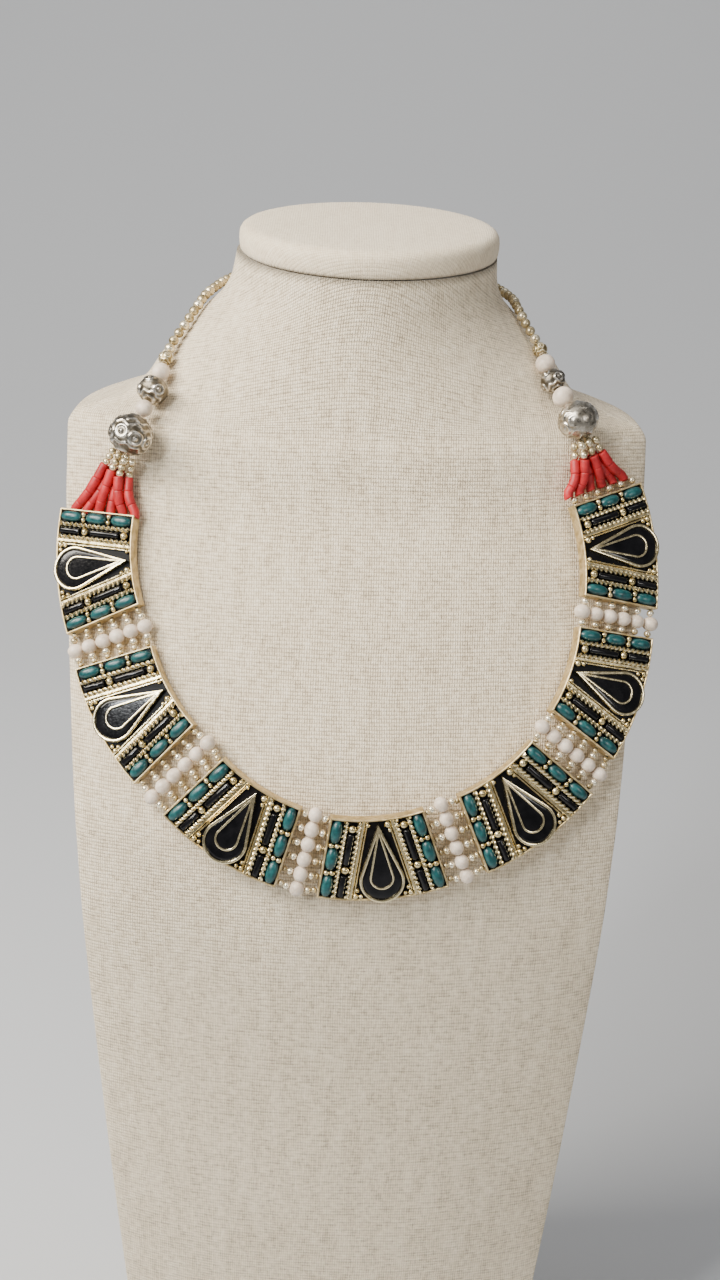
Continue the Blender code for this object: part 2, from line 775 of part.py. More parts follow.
def gap_strand_meshes(first, second):
    """The six strands of one gap, each a thread and a white bead, side by side."""
    ends = [(hole(first, 1, k)[0], hole(second, -1, k)[0]) for k in range(STRANDS)]
    middles = [(start + end) / 2 for start, end in ends]
    row = (middles[-1] - middles[0]).normalized()
    centre = sum(middles, Vector()) / STRANDS
    pitch = GAP_BEAD - BEAD_OVERLAP
    meshes = []
    for k, (start, end) in enumerate(ends):
        bead = centre + row * ((k - (STRANDS - 1) / 2) * pitch)
        run = end - start
        along = run - row * run.dot(row)
        meshes.append(bead_mesh(bead, along, GAP_BEAD, GAP_BEAD, GAP_BEAD_SIDES, GAP_BEAD_RINGS, corner=row))
        meshes.append(tube([start, bead, end], [THREAD / 2] * 3, THREAD_SIDES, "thread"))
    return meshes


def build_gaps(frames, finish):
    for number, (first, second) in enumerate(zip(frames, frames[1:]), 1):
        meshes = gap_strand_meshes(first, second)
        new_object(f"gap_strands_{number}", fused("gap_strands", meshes), finish)


def strand_route(frame, side, chosen):
    """The single strand's line, from the middle of a top panel's upper wall round to behind the neck."""
    first, leaving = hole(frame, side, 0)
    last, _ = hole(frame, side, STRANDS - 1)
    start = (first + last) / 2
    points = [start, start + leaving * CORAL_BEAD]
    for turn, share, lift in chosen:
        height = share * BUST_HEIGHT
        points.append(bust_point(turn, height) + bust_outward(turn, height) * (lift * ORNATE + CLEARANCE))
    return smooth_curve(points, ROUTE_STEPS)


def build_fans(frame, side, route, fan_length, label, finishes):
    """Six coral strands from the panel's wall, then their silver ends, gathered under the ornate bead."""
    top, _ = along_curve(route, fan_length)
    # The coral ends at the route's first chosen point, the third of all
    joint = route[2 * ROUTE_STEPS]
    along = (top - joint).normalized()
    facing = frame.col[2].to_3d()
    facing = (facing - along * facing.dot(along)).normalized()
    across = along.cross(facing)
    if across.dot(hole(frame, side, STRANDS - 1)[0] - hole(frame, side, 0)[0]) < 0:
        across = -across
    corals, seeds = [], []
    for k in range(STRANDS):
        place = k - (STRANDS - 1) / 2
        layer = 0.5 if k % 2 else -0.5
        start, leaving = hole(frame, side, k)
        gathered = joint + (across * (place * GATHER_PITCH) + facing * (layer * GATHER_DEPTH)) * CORAL_BEAD
        below_top = top - along * (SEED_TUBE * 0.6)
        seed_end = below_top + (across * (place * TOP_PITCH) + facing * (layer * TOP_DEPTH)) * SEED_TUBE
        swell = along * (CORAL_BEAD / 4)
        bend = start + leaving * (CORAL_BEAD / 2)
        coral_line = [start, bend, gathered - swell * 2, gathered - swell, gathered]
        coral_radii = [CORAL_BEAD / 2 * share for share in (0.85, 1.0, 1.0, GATHER_SWELL, GATHER_SWELL)]
        corals.append(tube(coral_line, coral_radii, STRAND_SIDES, "coral", facing))
        swell = along * (SEED_TUBE / 4)
        seed_start = gathered + along * CLEARANCE
        seed_line = [seed_start, seed_start + swell, seed_end - swell * 2, seed_end - swell, seed_end]
        seed_radii = [SEED_TUBE / 2 * share for share in (1.0, 1.0, 1.0, TOP_SWELL, TOP_SWELL)]
        seeds.append(tube(seed_line, seed_radii, STRAND_SIDES, "seed", facing))
    new_object(f"coral_fan_{label}", fused("coral_fan", corals), finishes["coral"])
    new_object(f"seed_fan_{label}", fused("seed_fan", seeds), finishes["silver"])


def build_strand(frame, side, chosen, beads, label, finishes):
    """The fans and the single strand of one side, up to the middle of the back."""
    route = strand_route(frame, side, chosen)
    # The ornate bead is centred on the route's second chosen point, the fourth of all
    fan_length = curve_length(route[: 3 * ROUTE_STEPS + 1]) - beads[0][2] * ORNATE / 2 - CLEARANCE
    build_fans(frame, side, route, fan_length, label, finishes)
    at = fan_length + CLEARANCE
    for name, diameter, length, form in beads:
        size = diameter * ORNATE
        run = length * ORNATE
        centre, along = along_curve(route, at + run / 2)
        if form == "carved":
            mesh = bead_mesh(centre, along, size, run, CARVED_SIDES, CARVED_RINGS, CARVED_RELIEF)
        else:
            mesh = bead_mesh(centre, along, size, run, BEAD_SIDES, BEAD_RINGS)
        finish = finishes["white"] if name.startswith("white") else finishes["silver"]
        new_object(f"{name}_{label}", mesh, finish)
        at += run + CLEARANCE
    total = curve_length(route) - CLASP_LENGTH / 2 - 2 * CLEARANCE
    points = []
    for step in range(STRING_STEPS + 1):
        point, _ = along_curve(route, at + (total - at) * step / STRING_STEPS)
        points.append(point)
    radii = [STRING_BEAD / 2] * len(points)
    new_object(f"back_string_{label}", tube(points, radii, STRAND_SIDES, "string"), finishes["silver"])
    return route


def build_clasp(route, finish):
    """One plain piece that joins the two strings behind the neck."""
    end = route[-1]
    bm = bmesh.new()
    loops = []
    for x, share in CLASP_STATIONS:
        half, thick = CLASP_WIDTH / 2 * share, CLASP_THICK / 2
        section = ((-thick, -half), (thick, -half), (thick, half), (-thick, half))
        loops.append([end + Vector((x * CLASP_LENGTH, y, z)) for y, z in section])
    loft(bm, loops)
    new_object("clasp", mesh_from(bm, "clasp"), finish)


def bust_turns():
    return [360.0 * k / BUST_SIDES - 180.0 for k in range(BUST_SIDES)]


def build_bust(finish):
    """The linen form, closed by a flat base and a flat top under the pad."""
    top = BUST_HEIGHT - PAD_HEIGHT - CLEARANCE
    heights = [row[0] * BUST_HEIGHT for row in BUST_ROWS]
    heights = [height for height in heights if height < top - CLEARANCE] + [top]
    bm = bmesh.new()
    loft(bm, [[bust_point(turn, height) for turn in bust_turns()] for height in heights])
    new_object("neck_bust", mesh_from(bm, "neck_bust"), finish, LINEN_SMOOTH)


def build_pad(finish):
    """The padded disc on top of the neck."""
    bm = bmesh.new()
    base = BUST_HEIGHT - PAD_HEIGHT
    loops = []
    for share, grow in PAD_ROWS:
        height = base + PAD_HEIGHT * share
        ring = []
        for turn in bust_turns():
            point = bust_point(turn, BUST_HEIGHT)
            out = Vector((point.x, point.y, 0.0)).normalized()
            ring.append(Vector((point.x, point.y, height)) + out * (grow * PAD_OVERHANG))
        loops.append(ring)
    loft(bm, loops)
    new_object("neck_pad", mesh_from(bm, "neck_pad"), finish, LINEN_SMOOTH)


def main():
    clear_scene()
    finishes = {
        "linen": material("linen", (0.70, 0.64, 0.54), 0.9),
        "metal": material("white_metal", (0.78, 0.72, 0.52), 0.3, 1.0),
        "silver": material("old_silver", (0.66, 0.64, 0.58), 0.35, 1.0),
        "black": material("black_inlay", (0.010, 0.010, 0.012), 0.15),
        "teal": material("teal_stone", (0.04, 0.16, 0.17), 0.25),
        "white": material("white_stone", (0.72, 0.68, 0.60), 0.35),
        "coral": material("red_coral", (0.62, 0.05, 0.04), 0.35),
    }
    build_bust(finishes["linen"])
    build_pad(finishes["linen"])
    frames = panel_frames()
    build_panels(frames, finishes)
    build_gaps(frames, finishes["white"])
    route = build_strand(frames[0], -1, LEFT_ROUTE, LEFT_BEADS, "left", finishes)
    build_strand(frames[-1], 1, RIGHT_ROUTE, RIGHT_BEADS, "right", finishes)
    build_clasp(route, finishes["silver"])


main()
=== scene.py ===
"""The looks of the bib necklace and its linen bust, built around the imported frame."""

import functools
import random
from itertools import accumulate
from math import acos, asin, atan2, copysign, cos, degrees, exp, pi, radians, sin

import bpy
import numpy as np
from mathutils import Matrix, Vector


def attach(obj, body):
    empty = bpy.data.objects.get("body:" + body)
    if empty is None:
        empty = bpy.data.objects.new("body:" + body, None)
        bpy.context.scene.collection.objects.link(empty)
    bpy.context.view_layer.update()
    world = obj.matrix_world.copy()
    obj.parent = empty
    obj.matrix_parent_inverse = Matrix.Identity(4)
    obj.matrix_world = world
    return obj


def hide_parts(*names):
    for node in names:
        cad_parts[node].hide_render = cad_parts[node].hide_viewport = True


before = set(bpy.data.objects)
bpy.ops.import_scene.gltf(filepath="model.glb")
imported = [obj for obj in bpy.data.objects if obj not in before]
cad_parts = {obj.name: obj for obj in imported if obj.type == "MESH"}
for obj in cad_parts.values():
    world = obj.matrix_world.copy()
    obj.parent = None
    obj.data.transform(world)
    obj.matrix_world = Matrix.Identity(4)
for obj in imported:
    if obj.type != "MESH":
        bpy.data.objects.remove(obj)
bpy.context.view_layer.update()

MM = 0.001
# The random draws of the small uneven things, always in the same order
chance = random.Random(7).uniform

# Sizes of the frame that the pieces here repeat, in metres and degrees, with the same names and meanings
CLEARANCE = 0.3 * MM
SOLDER = 0.1 * MM
BUST_HEIGHT = 440 * MM
SHOULDER_WIDTH = 190 * MM
CHEST_FRONT = 108 * MM
NECK_BACK = 43.5 * MM
PAD_HEIGHT = 9 * MM
NECK_LEAN = 2 * MM
LEAN_FROM = 0.93
PAD_OVERHANG = 0.6 * MM
BUST_COLUMNS = ("height", "half_width", "edge", "front", "back", "front_round", "back_round")
BUST_ROWS = (
    (0.000, 0.690, 0.770, 0.900, 0.46, 1.25, 2.6),
    (0.140, 0.754, 0.815, 0.945, 0.46, 1.25, 2.6),
    (0.340, 0.827, 0.860, 0.985, 0.47, 1.25, 2.6),
    (0.523, 0.886, 0.875, 1.000, 0.49, 1.25, 2.6),
    (0.595, 0.906, 0.845, 0.980, 0.52, 1.25, 2.6),
    (0.641, 0.922, 0.780, 0.937, 0.55, 1.25, 2.5),
    (0.686, 0.940, 0.675, 0.851, 0.60, 1.25, 2.5),
    (0.732, 0.960, 0.555, 0.750, 0.66, 1.25, 2.4),
    (0.777, 0.978, 0.432, 0.635, 0.73, 1.28, 2.3),
    (0.823, 0.992, 0.318, 0.522, 0.82, 1.32, 2.2),
    (0.860, 0.992, 0.262, 0.474, 0.88, 1.38, 2.1),
    (0.870, 0.965, 0.240, 0.450, 0.91, 1.44, 2.0),
    (0.875, 0.880, 0.218, 0.443, 0.93, 1.50, 2.0),
    (0.880, 0.800, 0.195, 0.436, 0.94, 1.60, 2.0),
    (0.889, 0.740, 0.160, 0.426, 0.95, 1.70, 2.0),
    (0.904, 0.688, 0.110, 0.408, 0.98, 1.75, 2.0),
    (0.920, 0.617, 0.050, 0.393, 1.00, 1.85, 2.0),
    (0.935, 0.547, 0.015, 0.383, 1.00, 1.95, 2.0),
    (0.946, 0.494, 0.000, 0.379, 1.00, 2.00, 2.0),
    (0.962, 0.460, -0.010, 0.376, 1.00, 2.00, 2.0),
    (1.000, 0.442, -0.014, 0.375, 1.00, 2.00, 2.0),
)
SEAT_SHARE = 0.88
SETTLE_ROUNDS = 8
PANELS = 7
PANEL_SPAN = 28.0
INNER_RADIUS = 59.2 * MM
PANEL_RADIAL = 26.6 * MM
TRAY_DEPTH = 4.4 * MM
TRAY_FLOOR = 2.6 * MM
TRAY_WALL = 0.55 * MM
PANEL_STAND_OFF = 0.5 * MM
STONE_WIDTH = 3.2 * MM
STONE_HEIGHT = 1.9 * MM
STONES = 3
STONE_SPACE = 1.9 * MM
ROPE_WIRE = 1.4 * MM
ROD = 2.1 * MM
BAND_WIRE = 1.1 * MM
INLAY_THICK = 0.4 * MM
# The start and end of each rod and the places of the granules, as shares of the way in from the outer edge
ROD_ENDS = ((0.05, 0.31), (0.45, 0.83))
GRANULE_AT = (0.38, 0.90)
DROP_LENGTH = 26.0 * MM
DROP_WIDTH = 14.2 * MM
DROP_PROUD = 0.6 * MM
BEZEL_WALL = 0.7 * MM
BEZEL_RISE = 0.8 * MM
INNER_DROP_WIDTH = 7.7 * MM
INNER_DROP_END = 4.4 * MM
INNER_WIRE = 0.6 * MM
COLLAR_SHIFT = 10.6 * MM
SHOULDER_AT = 0.860
COLLAR_DROP = 113.2 * MM
COLLAR_SWING = 5.7
GAP_LENGTH = 12.0 * MM
# Each gap's length as a share of GAP_LENGTH, and its turn in degrees
GAP_ROWS = ((1.03, -4.3), (1.12, -1.5), (0.97, 8.7), (1.04, 2.4), (0.99, 2.9), (0.79, -0.8))
STRANDS = 6
HOLE_PITCH = 4.55 * MM
HOLE_HEIGHT = 2.4 * MM
GAP_BEAD = 5.2 * MM
BEAD_OVERLAP = 0.25 * MM
CORAL_BEAD = 3.2 * MM
SEED_TUBE = 2.1 * MM
GATHER_PITCH = 0.52
GATHER_DEPTH = 0.9
TOP_PITCH = 0.62
TOP_DEPTH = 1.05
ORNATE = 14.2 * MM
# The beads above a fan: name, diameter and length as shares of ORNATE
LEFT_BEADS = (
    ("ornate_bead", 1.0, 0.96),
    ("white_bead_1", 0.38, 0.42),
    ("carved_bead", 0.72, 0.62),
    ("white_bead_2", 0.40, 0.46),
    ("small_carved_bead", 0.34, 0.36),
)
RIGHT_BEADS = (
    ("ornate_bead", 0.92, 0.88),
    ("white_bead_1", 0.49, 0.47),
    ("carved_bead", 0.60, 0.54),
    ("white_bead_2", 0.45, 0.46),
    ("small_carved_bead", 0.35, 0.36),
)
STRING_BEAD = 3.5 * MM
CLASP_LENGTH = 14 * MM
# The chosen points of a strand: turn in degrees, height as a share, lift as a share of ORNATE
LEFT_ROUTE = (
    (-52.9, 0.8350, 0.26),
    (-47.4, 0.8600, 0.53),
    (-60.0, 0.8840, 0.38),
    (-72.0, 0.9100, 0.18),
    (-77.0, 0.9230, 0.16),
    (-84.0, 0.9330, 0.15),
    (-97.0, 0.9400, 0.15),
    (-122.0, 0.9445, 0.15),
    (-152.0, 0.9450, 0.15),
    (-180.0, 0.9450, 0.15),
)
RIGHT_ROUTE = (
    (50.0, 0.8560, 0.26),
    (49.0, 0.8715, 0.50),
    (62.0, 0.8970, 0.33),
    (72.0, 0.9200, 0.18),
    (77.0, 0.9310, 0.16),
    (86.0, 0.9390, 0.15),
    (99.0, 0.9425, 0.15),
    (122.0, 0.9445, 0.15),
    (152.0, 0.9450, 0.15),
    (180.0, 0.9450, 0.15),
)
ROUTE_STEPS = 12

# The way that a carved bead's first angle faces
FRONT = Vector((0.02, -0.91, 0.41))

# Sizes that only the looks need
LINEN_RISE = 2.5 * MM
LINEN_SIDES = 144
WEFT_PITCH = 1.2
WARP_PITCH = 0.78
# Closer rings over the shoulder: from this share of the height, this share apart
EDGE_FROM, EDGE_STEP, EDGE_RINGS = 0.863, 0.0025, 14
RINGS_APART = 0.2 * MM
# Painted shade on the linen reaches this far down from the seam under the pad
SEAM_SHADE = 1.2 * MM
# The pad's rim: share of its height, and overhang as a share of PAD_OVERHANG
PAD_RIM = (
    (0.0, -0.9),
    (0.03, -0.2),
    (0.12, 0.6),
    (0.30, 1.0),
    (0.52, 1.1),
    (0.70, 0.8),
    (0.83, -0.3),
    (0.91, -2.0),
    (0.955, -4.4),
    (0.975, -8.0),
)
# Painted shade on the underside of the pad's rim covers this share of its height
PAD_SHADE = 0.14
PAD_FOLD = 0.9
CROWN_SCALES = (0.7, 0.4, 0.1)
CROWN_INSET = 0.87
SECTOR_STEPS = 20
DROP_STEPS = 40
POLE_GAP = 0.12
# Fineness of the round beads: points around, rings
BALL = (14, 9)
WHITE_BALL = (28, 18)
GAP_BALL = (20, 14)
ROW_BALL = (12, 8)
STRING_BALL = (14, 8)
HOLE_DISC = (12, 4)
ROPE_RIDGES = 15
ROPE_STEPS = 6
ROPE_STRAND = 0.46 * MM
ROPE_COIL = 0.42 * MM
ROPE_INSET = 0.25 * MM
ROPE_SIDES = 8
# How unevenly the rope is twisted, and how fast that changes along it
ROPE_WOBBLE, WOBBLE_RATE = 0.25, 9
# The rope's mark: painted shade in the grooves and a painted highlight on the crests
ROPE_PAINTED_SHADE, CREST_PAINTED_LIGHT = 0.15, 0.6
WIRE_INSET = TRAY_WALL * 0.8
WIRE_STEPS = 12
WIRE_SOFT = 0.22
RING_SOFT = 0.3
GRANULE = 2.5 * MM
SMALL_GRANULE = 1.75 * MM
GRANULE_SHAKE = 0.12 * MM
GRANULE_SUNK = 0.42
# Balls in the two outer corners beside the drop, in mm: inset, offset, size
CORNER_GRANULES = ((1.5, 11.9, 1.8), (1.4, 13.6, 1.5), (3.2, 12.1, 1.5))
# Balls beside the drop's tip, in mm: side, inset, offset, size
TIP_GRANULES = ((1, 1.9, 11.9, 2.1), (1, 3.9, 11.75, 1.5), (-1, 1.7, 11.7, 1.5))
SEED = 2.5 * MM
SMALL_SEED = 2.0 * MM
# A seed's length in a gap as a share of its width, and the least room for the small one
SEED_LENGTH = 0.86
SEED_ROOM = 0.4 * MM
# A bead's length as a share of its pitch
BEAD_FILL = 0.98
EDGE_SOFT = 0.15 * MM
EYELET = 0.85 * MM
EYELET_WIRE = 0.16 * MM
EYELET_SIDES = 16
CORAL_TUBE = 4.6 * MM
BEZEL_LOOK = 0.95 * MM
THIN_WIRE = 0.45 * MM
# Softened ends of the rods and the coral tubes: share of the length, thickness as a share
ROD_PROFILE = ((0.0, 0.72), (0.02, 0.93), (0.05, 1.0), (0.5, 1.01), (0.95, 1.0), (0.98, 0.93), (1.0, 0.72))
TUBE_PROFILE = (
    (0.002, 0.90),
    (0.03, 0.97),
    (0.09, 1.0),
    (0.5, 1.0),
    (0.91, 1.0),
    (0.97, 0.97),
    (0.998, 0.90),
)
# How far the filling stays inside the wall and rises over the frame's, and its mark
GROUND_INSET, GROUND_RISE, GROUND_MARK = 0.05 * MM, 0.1 * MM, 0.8
# The crowned top of the drop, in mm: rise over its rim, inset
RIM_BELOW = 0.42 * MM
DROP_CROWN = ((-0.25, 0.0), (-0.05, 0.25), (0.02, 0.9), (0.06, 2.0))
# The dome of a cabochon: share of its width, share of its height
DOME = (
    (0.97, -0.15),
    (1.0, 0.15),
    (0.97, 0.36),
    (0.88, 0.58),
    (0.74, 0.76),
    (0.55, 0.89),
    (0.34, 0.97),
    (0.12, 1.0),
)
DOME_SIDES = 28
# Wavy bands of the carved beads: latitude, swing, phase
ORNATE_BANDS = ((0.33, 0.10, 0.0), (0.62, 0.10, 1.6), (-0.72, 0.06, 0.8))
CARVED_BANDS = ((0.85, 0.08, 0.0), (-0.85, 0.08, 0.0))
SMALL_BANDS = ((0.8, 0.1, 0.0), (-0.8, 0.1, 0.0))
# The relief's rounded ridges: where they are, how wide and how high
MEDALLION_RING = (0.80, 0.20, 1.0)
MEDALLION_BALL = (0.0, 0.30, 1.2)
COLLAR = (1.22, 0.09, 0.9)
WAVE_WIDTH, WAVE_HEIGHT = 0.085, 0.8
# The carved beads: medallions (count, reach, turn, latitude, swing), depth, bands,
# growth over the frame's bead, fineness, look
CARVED = {
    "ornate_bead": ((8, 0.37, 0.40, -0.22, 0.05), 0.06, ORNATE_BANDS, 1.02, (160, 96), "silver"),
    "carved_bead": ((6, 0.42, 0.5, 0.0, 0.40), 0.09, CARVED_BANDS, 1.03, (128, 72), "silver"),
    "small_carved_bead": ((5, 0.5, 0.2, 0.0, 0.0), 0.09, SMALL_BANDS, 1.03, (72, 40), "pearl"),
}
# The coral strands leave the wall a little nearer to its inner end than the holes
FAN_SHIFT = 2.2 * MM
# How much more the outer strands shift, how far the waist draws in, and where the first tube bends
FAN_SPREAD, WAIST_DRAW, WAIST_LIFT, TUBE_BEND = 0.12, 0.06, 0.2, 0.45
# The mark that keeps a metal bright and free of tarnish
POLISHED = -0.25
# An edge sharper than this shows as an edge, in degrees
FLAT_ANGLE, STONE_ANGLE, ROUND_ANGLE, LINEN_ANGLE = 40.0, 60.0, 70.0, 75.0

# Colours of the metals: tarnished, middle, bright
PALE_BRASS = ((0.17, 0.12, 0.045), (0.53, 0.40, 0.195), (0.74, 0.60, 0.35))
WHITE_METAL = ((0.070, 0.050, 0.018), (0.53, 0.42, 0.20), (0.90, 0.77, 0.47))
OLD_SILVER = ((0.13, 0.11, 0.08), (0.45, 0.41, 0.345), (0.80, 0.76, 0.69))
SILVER_SEEDS = ((0.24, 0.18, 0.08), (0.68, 0.57, 0.36), (0.95, 0.88, 0.69))
# Colours of the soft stones: dark, light
WHITE_STONE = ((0.46, 0.37, 0.285), (0.82, 0.70, 0.575))
RED_CORAL = ((0.27, 0.005, 0.008), (0.51, 0.013, 0.018))

# The lights: name, place, aim, size in metres, power in watts, colour
LIGHTS = (
    ("window", (-0.80, -0.25, 0.95), (0.0, -0.05, 0.33), (0.36, 0.36), 14.5, (1.0, 0.94, 0.84)),
    ("ceiling", (-0.46, -0.46, 1.02), (0.0, -0.05, 0.34), (0.4, 0.4), 9.5, (1.0, 0.945, 0.86)),
    ("fill", (0.70, -0.90, 0.80), (0.03, -0.06, 0.33), (0.3, 0.3), 3.3, (1.0, 0.97, 0.93)),
    ("lamp", (-0.768, -0.957, 0.982), (-0.069, -0.088, 0.305), (0.15, 0.15), 8.0, (0.95, 0.98, 1.0)),
    ("backdrop", (0.0, 0.2, 2.2), (0.0, 1.7, 1.0), (2.0, 0.6), 14.0, (1.0, 1.0, 1.0)),
)
SKY = (0.94, 0.94, 0.95, 1.0)
SKY_STRENGTH = 0.20
STAGE_COLOR = (0.60, 0.615, 0.64)
# The sweep, in metres: front of the floor, start and radius of the bend, top of the wall, half its width
FLOOR_FRONT, BEND_FROM, BEND, WALL_TOP, HALF_WIDTH = -2.5, 0.6, 1.2, 4.5, 4.0
BEND_STEPS = 16

# The camera, as found from the photo: metres, degrees and pixels of a picture 1280 pixels high
CAMERA_TARGET = (0.0031, -0.0400, 0.3095)
CAMERA_DISTANCE = 0.6229
CAMERA_PITCH = 23.8
CAMERA_YAW = 1.12
CAMERA_ROLL = -2.2
FOCAL_PIXELS = 1859.0
PICTURE_HEIGHT = 1280.0
SENSOR = 36.0

# Sizes that follow from the ones above
OUTER_RADIUS = INNER_RADIUS + PANEL_RADIAL
MIDDLE_RADIUS = INNER_RADIUS + PANEL_RADIAL / 2
STONE_INSET = TRAY_WALL + CLEARANCE
STONE_LENGTH = (PANEL_RADIAL - 2 * STONE_INSET - (STONES - 1) * STONE_SPACE) / STONES
STONE_AT = STONE_INSET + STONE_WIDTH / 2
ROPE_AT = TRAY_WALL + 2 * CLEARANCE + STONE_WIDTH + ROPE_WIRE / 2
ROD_AT = ROPE_AT + ROPE_WIRE / 2 + CLEARANCE + ROD / 2
SECOND_ROPE_AT = ROD_AT + ROD / 2 + CLEARANCE + ROPE_WIRE / 2
BAND_AT = SECOND_ROPE_AT + ROPE_WIRE / 2 + BAND_WIRE / 2 - SOLDER
THIN_WIRE_AT = BAND_AT + BAND_WIRE / 2 + CLEARANCE + THIN_WIRE / 2
INLAY_LOW = TRAY_FLOOR + CLEARANCE
INLAY_TOP = INLAY_LOW + INLAY_THICK
PIECE_LOW = INLAY_TOP + CLEARANCE
DROP_TOP = PIECE_LOW + BEZEL_RISE
BEZEL_TOP = DROP_TOP + CLEARANCE + INNER_WIRE
LINEN_TURNS = [360.0 * k / LINEN_SIDES - 180.0 for k in range(LINEN_SIDES)]


# The frame's surface and layout, by the same formulas


@functools.lru_cache(maxsize=None)
def bust_value(column, height):
    heights = [row[0] * BUST_HEIGHT for row in BUST_ROWS]
    values = [row[BUST_COLUMNS.index(column)] for row in BUST_ROWS]
    height = min(max(height, heights[0]), heights[-1])
    k = 0
    while k < len(heights) - 2 and height > heights[k + 1]:
        k += 1
    slopes = [(values[j + 1] - values[j]) / (heights[j + 1] - heights[j]) for j in range(len(heights) - 1)]

    def slope_at(j):
        if j == 0 or j == len(heights) - 1:
            return slopes[min(j, len(slopes) - 1)]
        if slopes[j - 1] * slopes[j] <= 0:
            return 0.0
        return 2 * slopes[j - 1] * slopes[j] / (slopes[j - 1] + slopes[j])

    span = heights[k + 1] - heights[k]
    t = (height - heights[k]) / span
    return (
        values[k] * (1 + 2 * t) * (1 - t) ** 2
        + values[k + 1] * (3 - 2 * t) * t * t
        + span * (slope_at(k) * t * (1 - t) ** 2 - slope_at(k + 1) * (1 - t) * t * t)
    )


def bust_sizes(height):
    half_width = bust_value("half_width", height) * SHOULDER_WIDTH / 2
    edge = bust_value("edge", height) * CHEST_FRONT
    front = bust_value("front", height) * CHEST_FRONT
    back = bust_value("back", height) * NECK_BACK
    return half_width, edge, front, back


def bust_point(turn, height):
    half_width, edge, front, back = bust_sizes(height)
    sine, cosine = sin(radians(turn)), cos(radians(turn))
    lean = NECK_LEAN * max(height / BUST_HEIGHT - LEAN_FROM, 0.0) / (1 - LEAN_FROM)
    if cosine >= 0:
        fullness = bust_value("front_round", height)
        return Vector((half_width * sine + lean, -edge - (front - edge) * cosine ** (2 / fullness), height))
    fullness = bust_value("back_round", height)
    side = copysign(abs(sine) ** (2 / fullness), sine)
    return Vector((half_width * side + lean, -edge + (back + edge) * (-cosine) ** (2 / fullness), height))


def bust_outward(turn, height):
    step = 1.0
    rise = 1 * MM
    round_it = bust_point(turn + step, height) - bust_point(turn - step, height)
    up_it = bust_point(turn, height + rise) - bust_point(turn, height - rise)
    return round_it.cross(up_it).normalized()


def front_depth(x, height):
    half_width, edge, front, _ = bust_sizes(height)
    power = 1 / bust_value("front_round", height)
    share = min(abs(x) / half_width, SEAT_SHARE)
    depth = edge + (front - edge) * (1 - share * share) ** power
    slope = (front - edge) * power * (1 - share * share) ** (power - 1) * -2 * share / half_width
    return depth + slope * (abs(x) - share * half_width)


def seat(x, height, lift):
    step = 0.5 * MM
    across = (front_depth(x + step, height) - front_depth(x - step, height)) / (2 * step)
    up = (front_depth(x, height + step) - front_depth(x, height - step)) / (2 * step)
    facing = Vector((-across, -1.0, -up)).normalized()
    return Vector((x, -front_depth(x, height), height)) + facing * lift, facing


def frame_at(origin, inward, facing):
    inward = (inward - facing * inward.dot(facing)).normalized()
    along = inward.cross(facing)
    turned = Matrix((along, inward, facing)).transposed().to_4x4()
    turned.translation = origin
    return turned


def turned_about(direction, axis, turn):
    return Matrix.Rotation(radians(turn), 3, axis) @ direction


def next_panel(placed, side, length, turn):
    facing = placed.col[2].to_3d()
    inward = placed.col[1].to_3d()
    centre = placed.translation + inward * MIDDLE_RADIUS
    edge_in = turned_about(inward, facing, side * PANEL_SPAN / 2)
    leaving = turned_about(placed.col[0].to_3d() * side, facing, side * (PANEL_SPAN + turn) / 2)
    gap_middle = centre - edge_in * MIDDLE_RADIUS + leaving * (length / 2)
    guess = gap_middle + leaving * (length / 2 + MIDDLE_RADIUS * sin(radians(PANEL_SPAN / 2)))
    for _ in range(SETTLE_ROUNDS):
        origin, facing = seat(guess.x, guess.z, TRAY_DEPTH + PANEL_STAND_OFF)
        entering = (leaving - facing * leaving.dot(facing)).normalized()
        entering = turned_about(entering, facing, side * turn / 2)
        edge_in = facing.cross(entering) * side
        inward = turned_about(edge_in, facing, side * PANEL_SPAN / 2)
        centre = origin + inward * MIDDLE_RADIUS
        seen = centre - edge_in * MIDDLE_RADIUS - entering * (length / 2)
        guess = guess + (gap_middle - seen)
    return frame_at(origin, inward, facing)


def face_frames():
    height = SHOULDER_AT * BUST_HEIGHT - COLLAR_DROP
    origin, facing = seat(COLLAR_SHIFT, height, TRAY_DEPTH + PANEL_STAND_OFF)
    swing = radians(COLLAR_SWING)
    half = PANELS // 2
    frames = {half: frame_at(origin, Vector((-sin(swing), 0.0, cos(swing))), facing)}
    for side in (-1, 1):
        for step in range(half):
            index = half + side * step
            length, turn = GAP_ROWS[index if side == 1 else index - 1]
            frames[index + side] = next_panel(frames[index], side, length * GAP_LENGTH, turn)
    return [frames[k] for k in sorted(frames)]


def panel_frames():
    placed = []
    for face in face_frames():
        facing = face.col[2].to_3d()
        base = face.copy()
        base.translation = face.translation - facing * TRAY_DEPTH
        low = PANEL_STAND_OFF
        for angle in (-1.0, -0.5, 0.0, 0.5, 1.0):
            for share in (0.0, 0.5, 1.0):
                point = base @ ring_point(INNER_RADIUS + PANEL_RADIAL * share, angle * PANEL_SPAN / 2)
                low = min(low, (-point.y - front_depth(point.x, point.z)) * -facing.y)
        base.translation += facing * (PANEL_STAND_OFF - low)
        placed.append(base)
    return placed


def ring_point(radius, turn, height=0.0):
    angle = radians(turn)
    return Vector((radius * sin(angle), MIDDLE_RADIUS - radius * cos(angle), height))


def side_point(radius, offset, side, height=0.0):
    angle = PANEL_SPAN / 2 - degrees(asin(offset / radius))
    return ring_point(radius, side * angle, height)


def sector(inset, height):
    points = []
    for radius, order in ((OUTER_RADIUS - inset, 1), (INNER_RADIUS + inset, -1)):
        half = PANEL_SPAN / 2 - degrees(asin(inset / radius))
        for step in range(SECTOR_STEPS + 1):
            points.append(ring_point(radius, order * (step / SECTOR_STEPS * 2 - 1) * half, height))
    return points


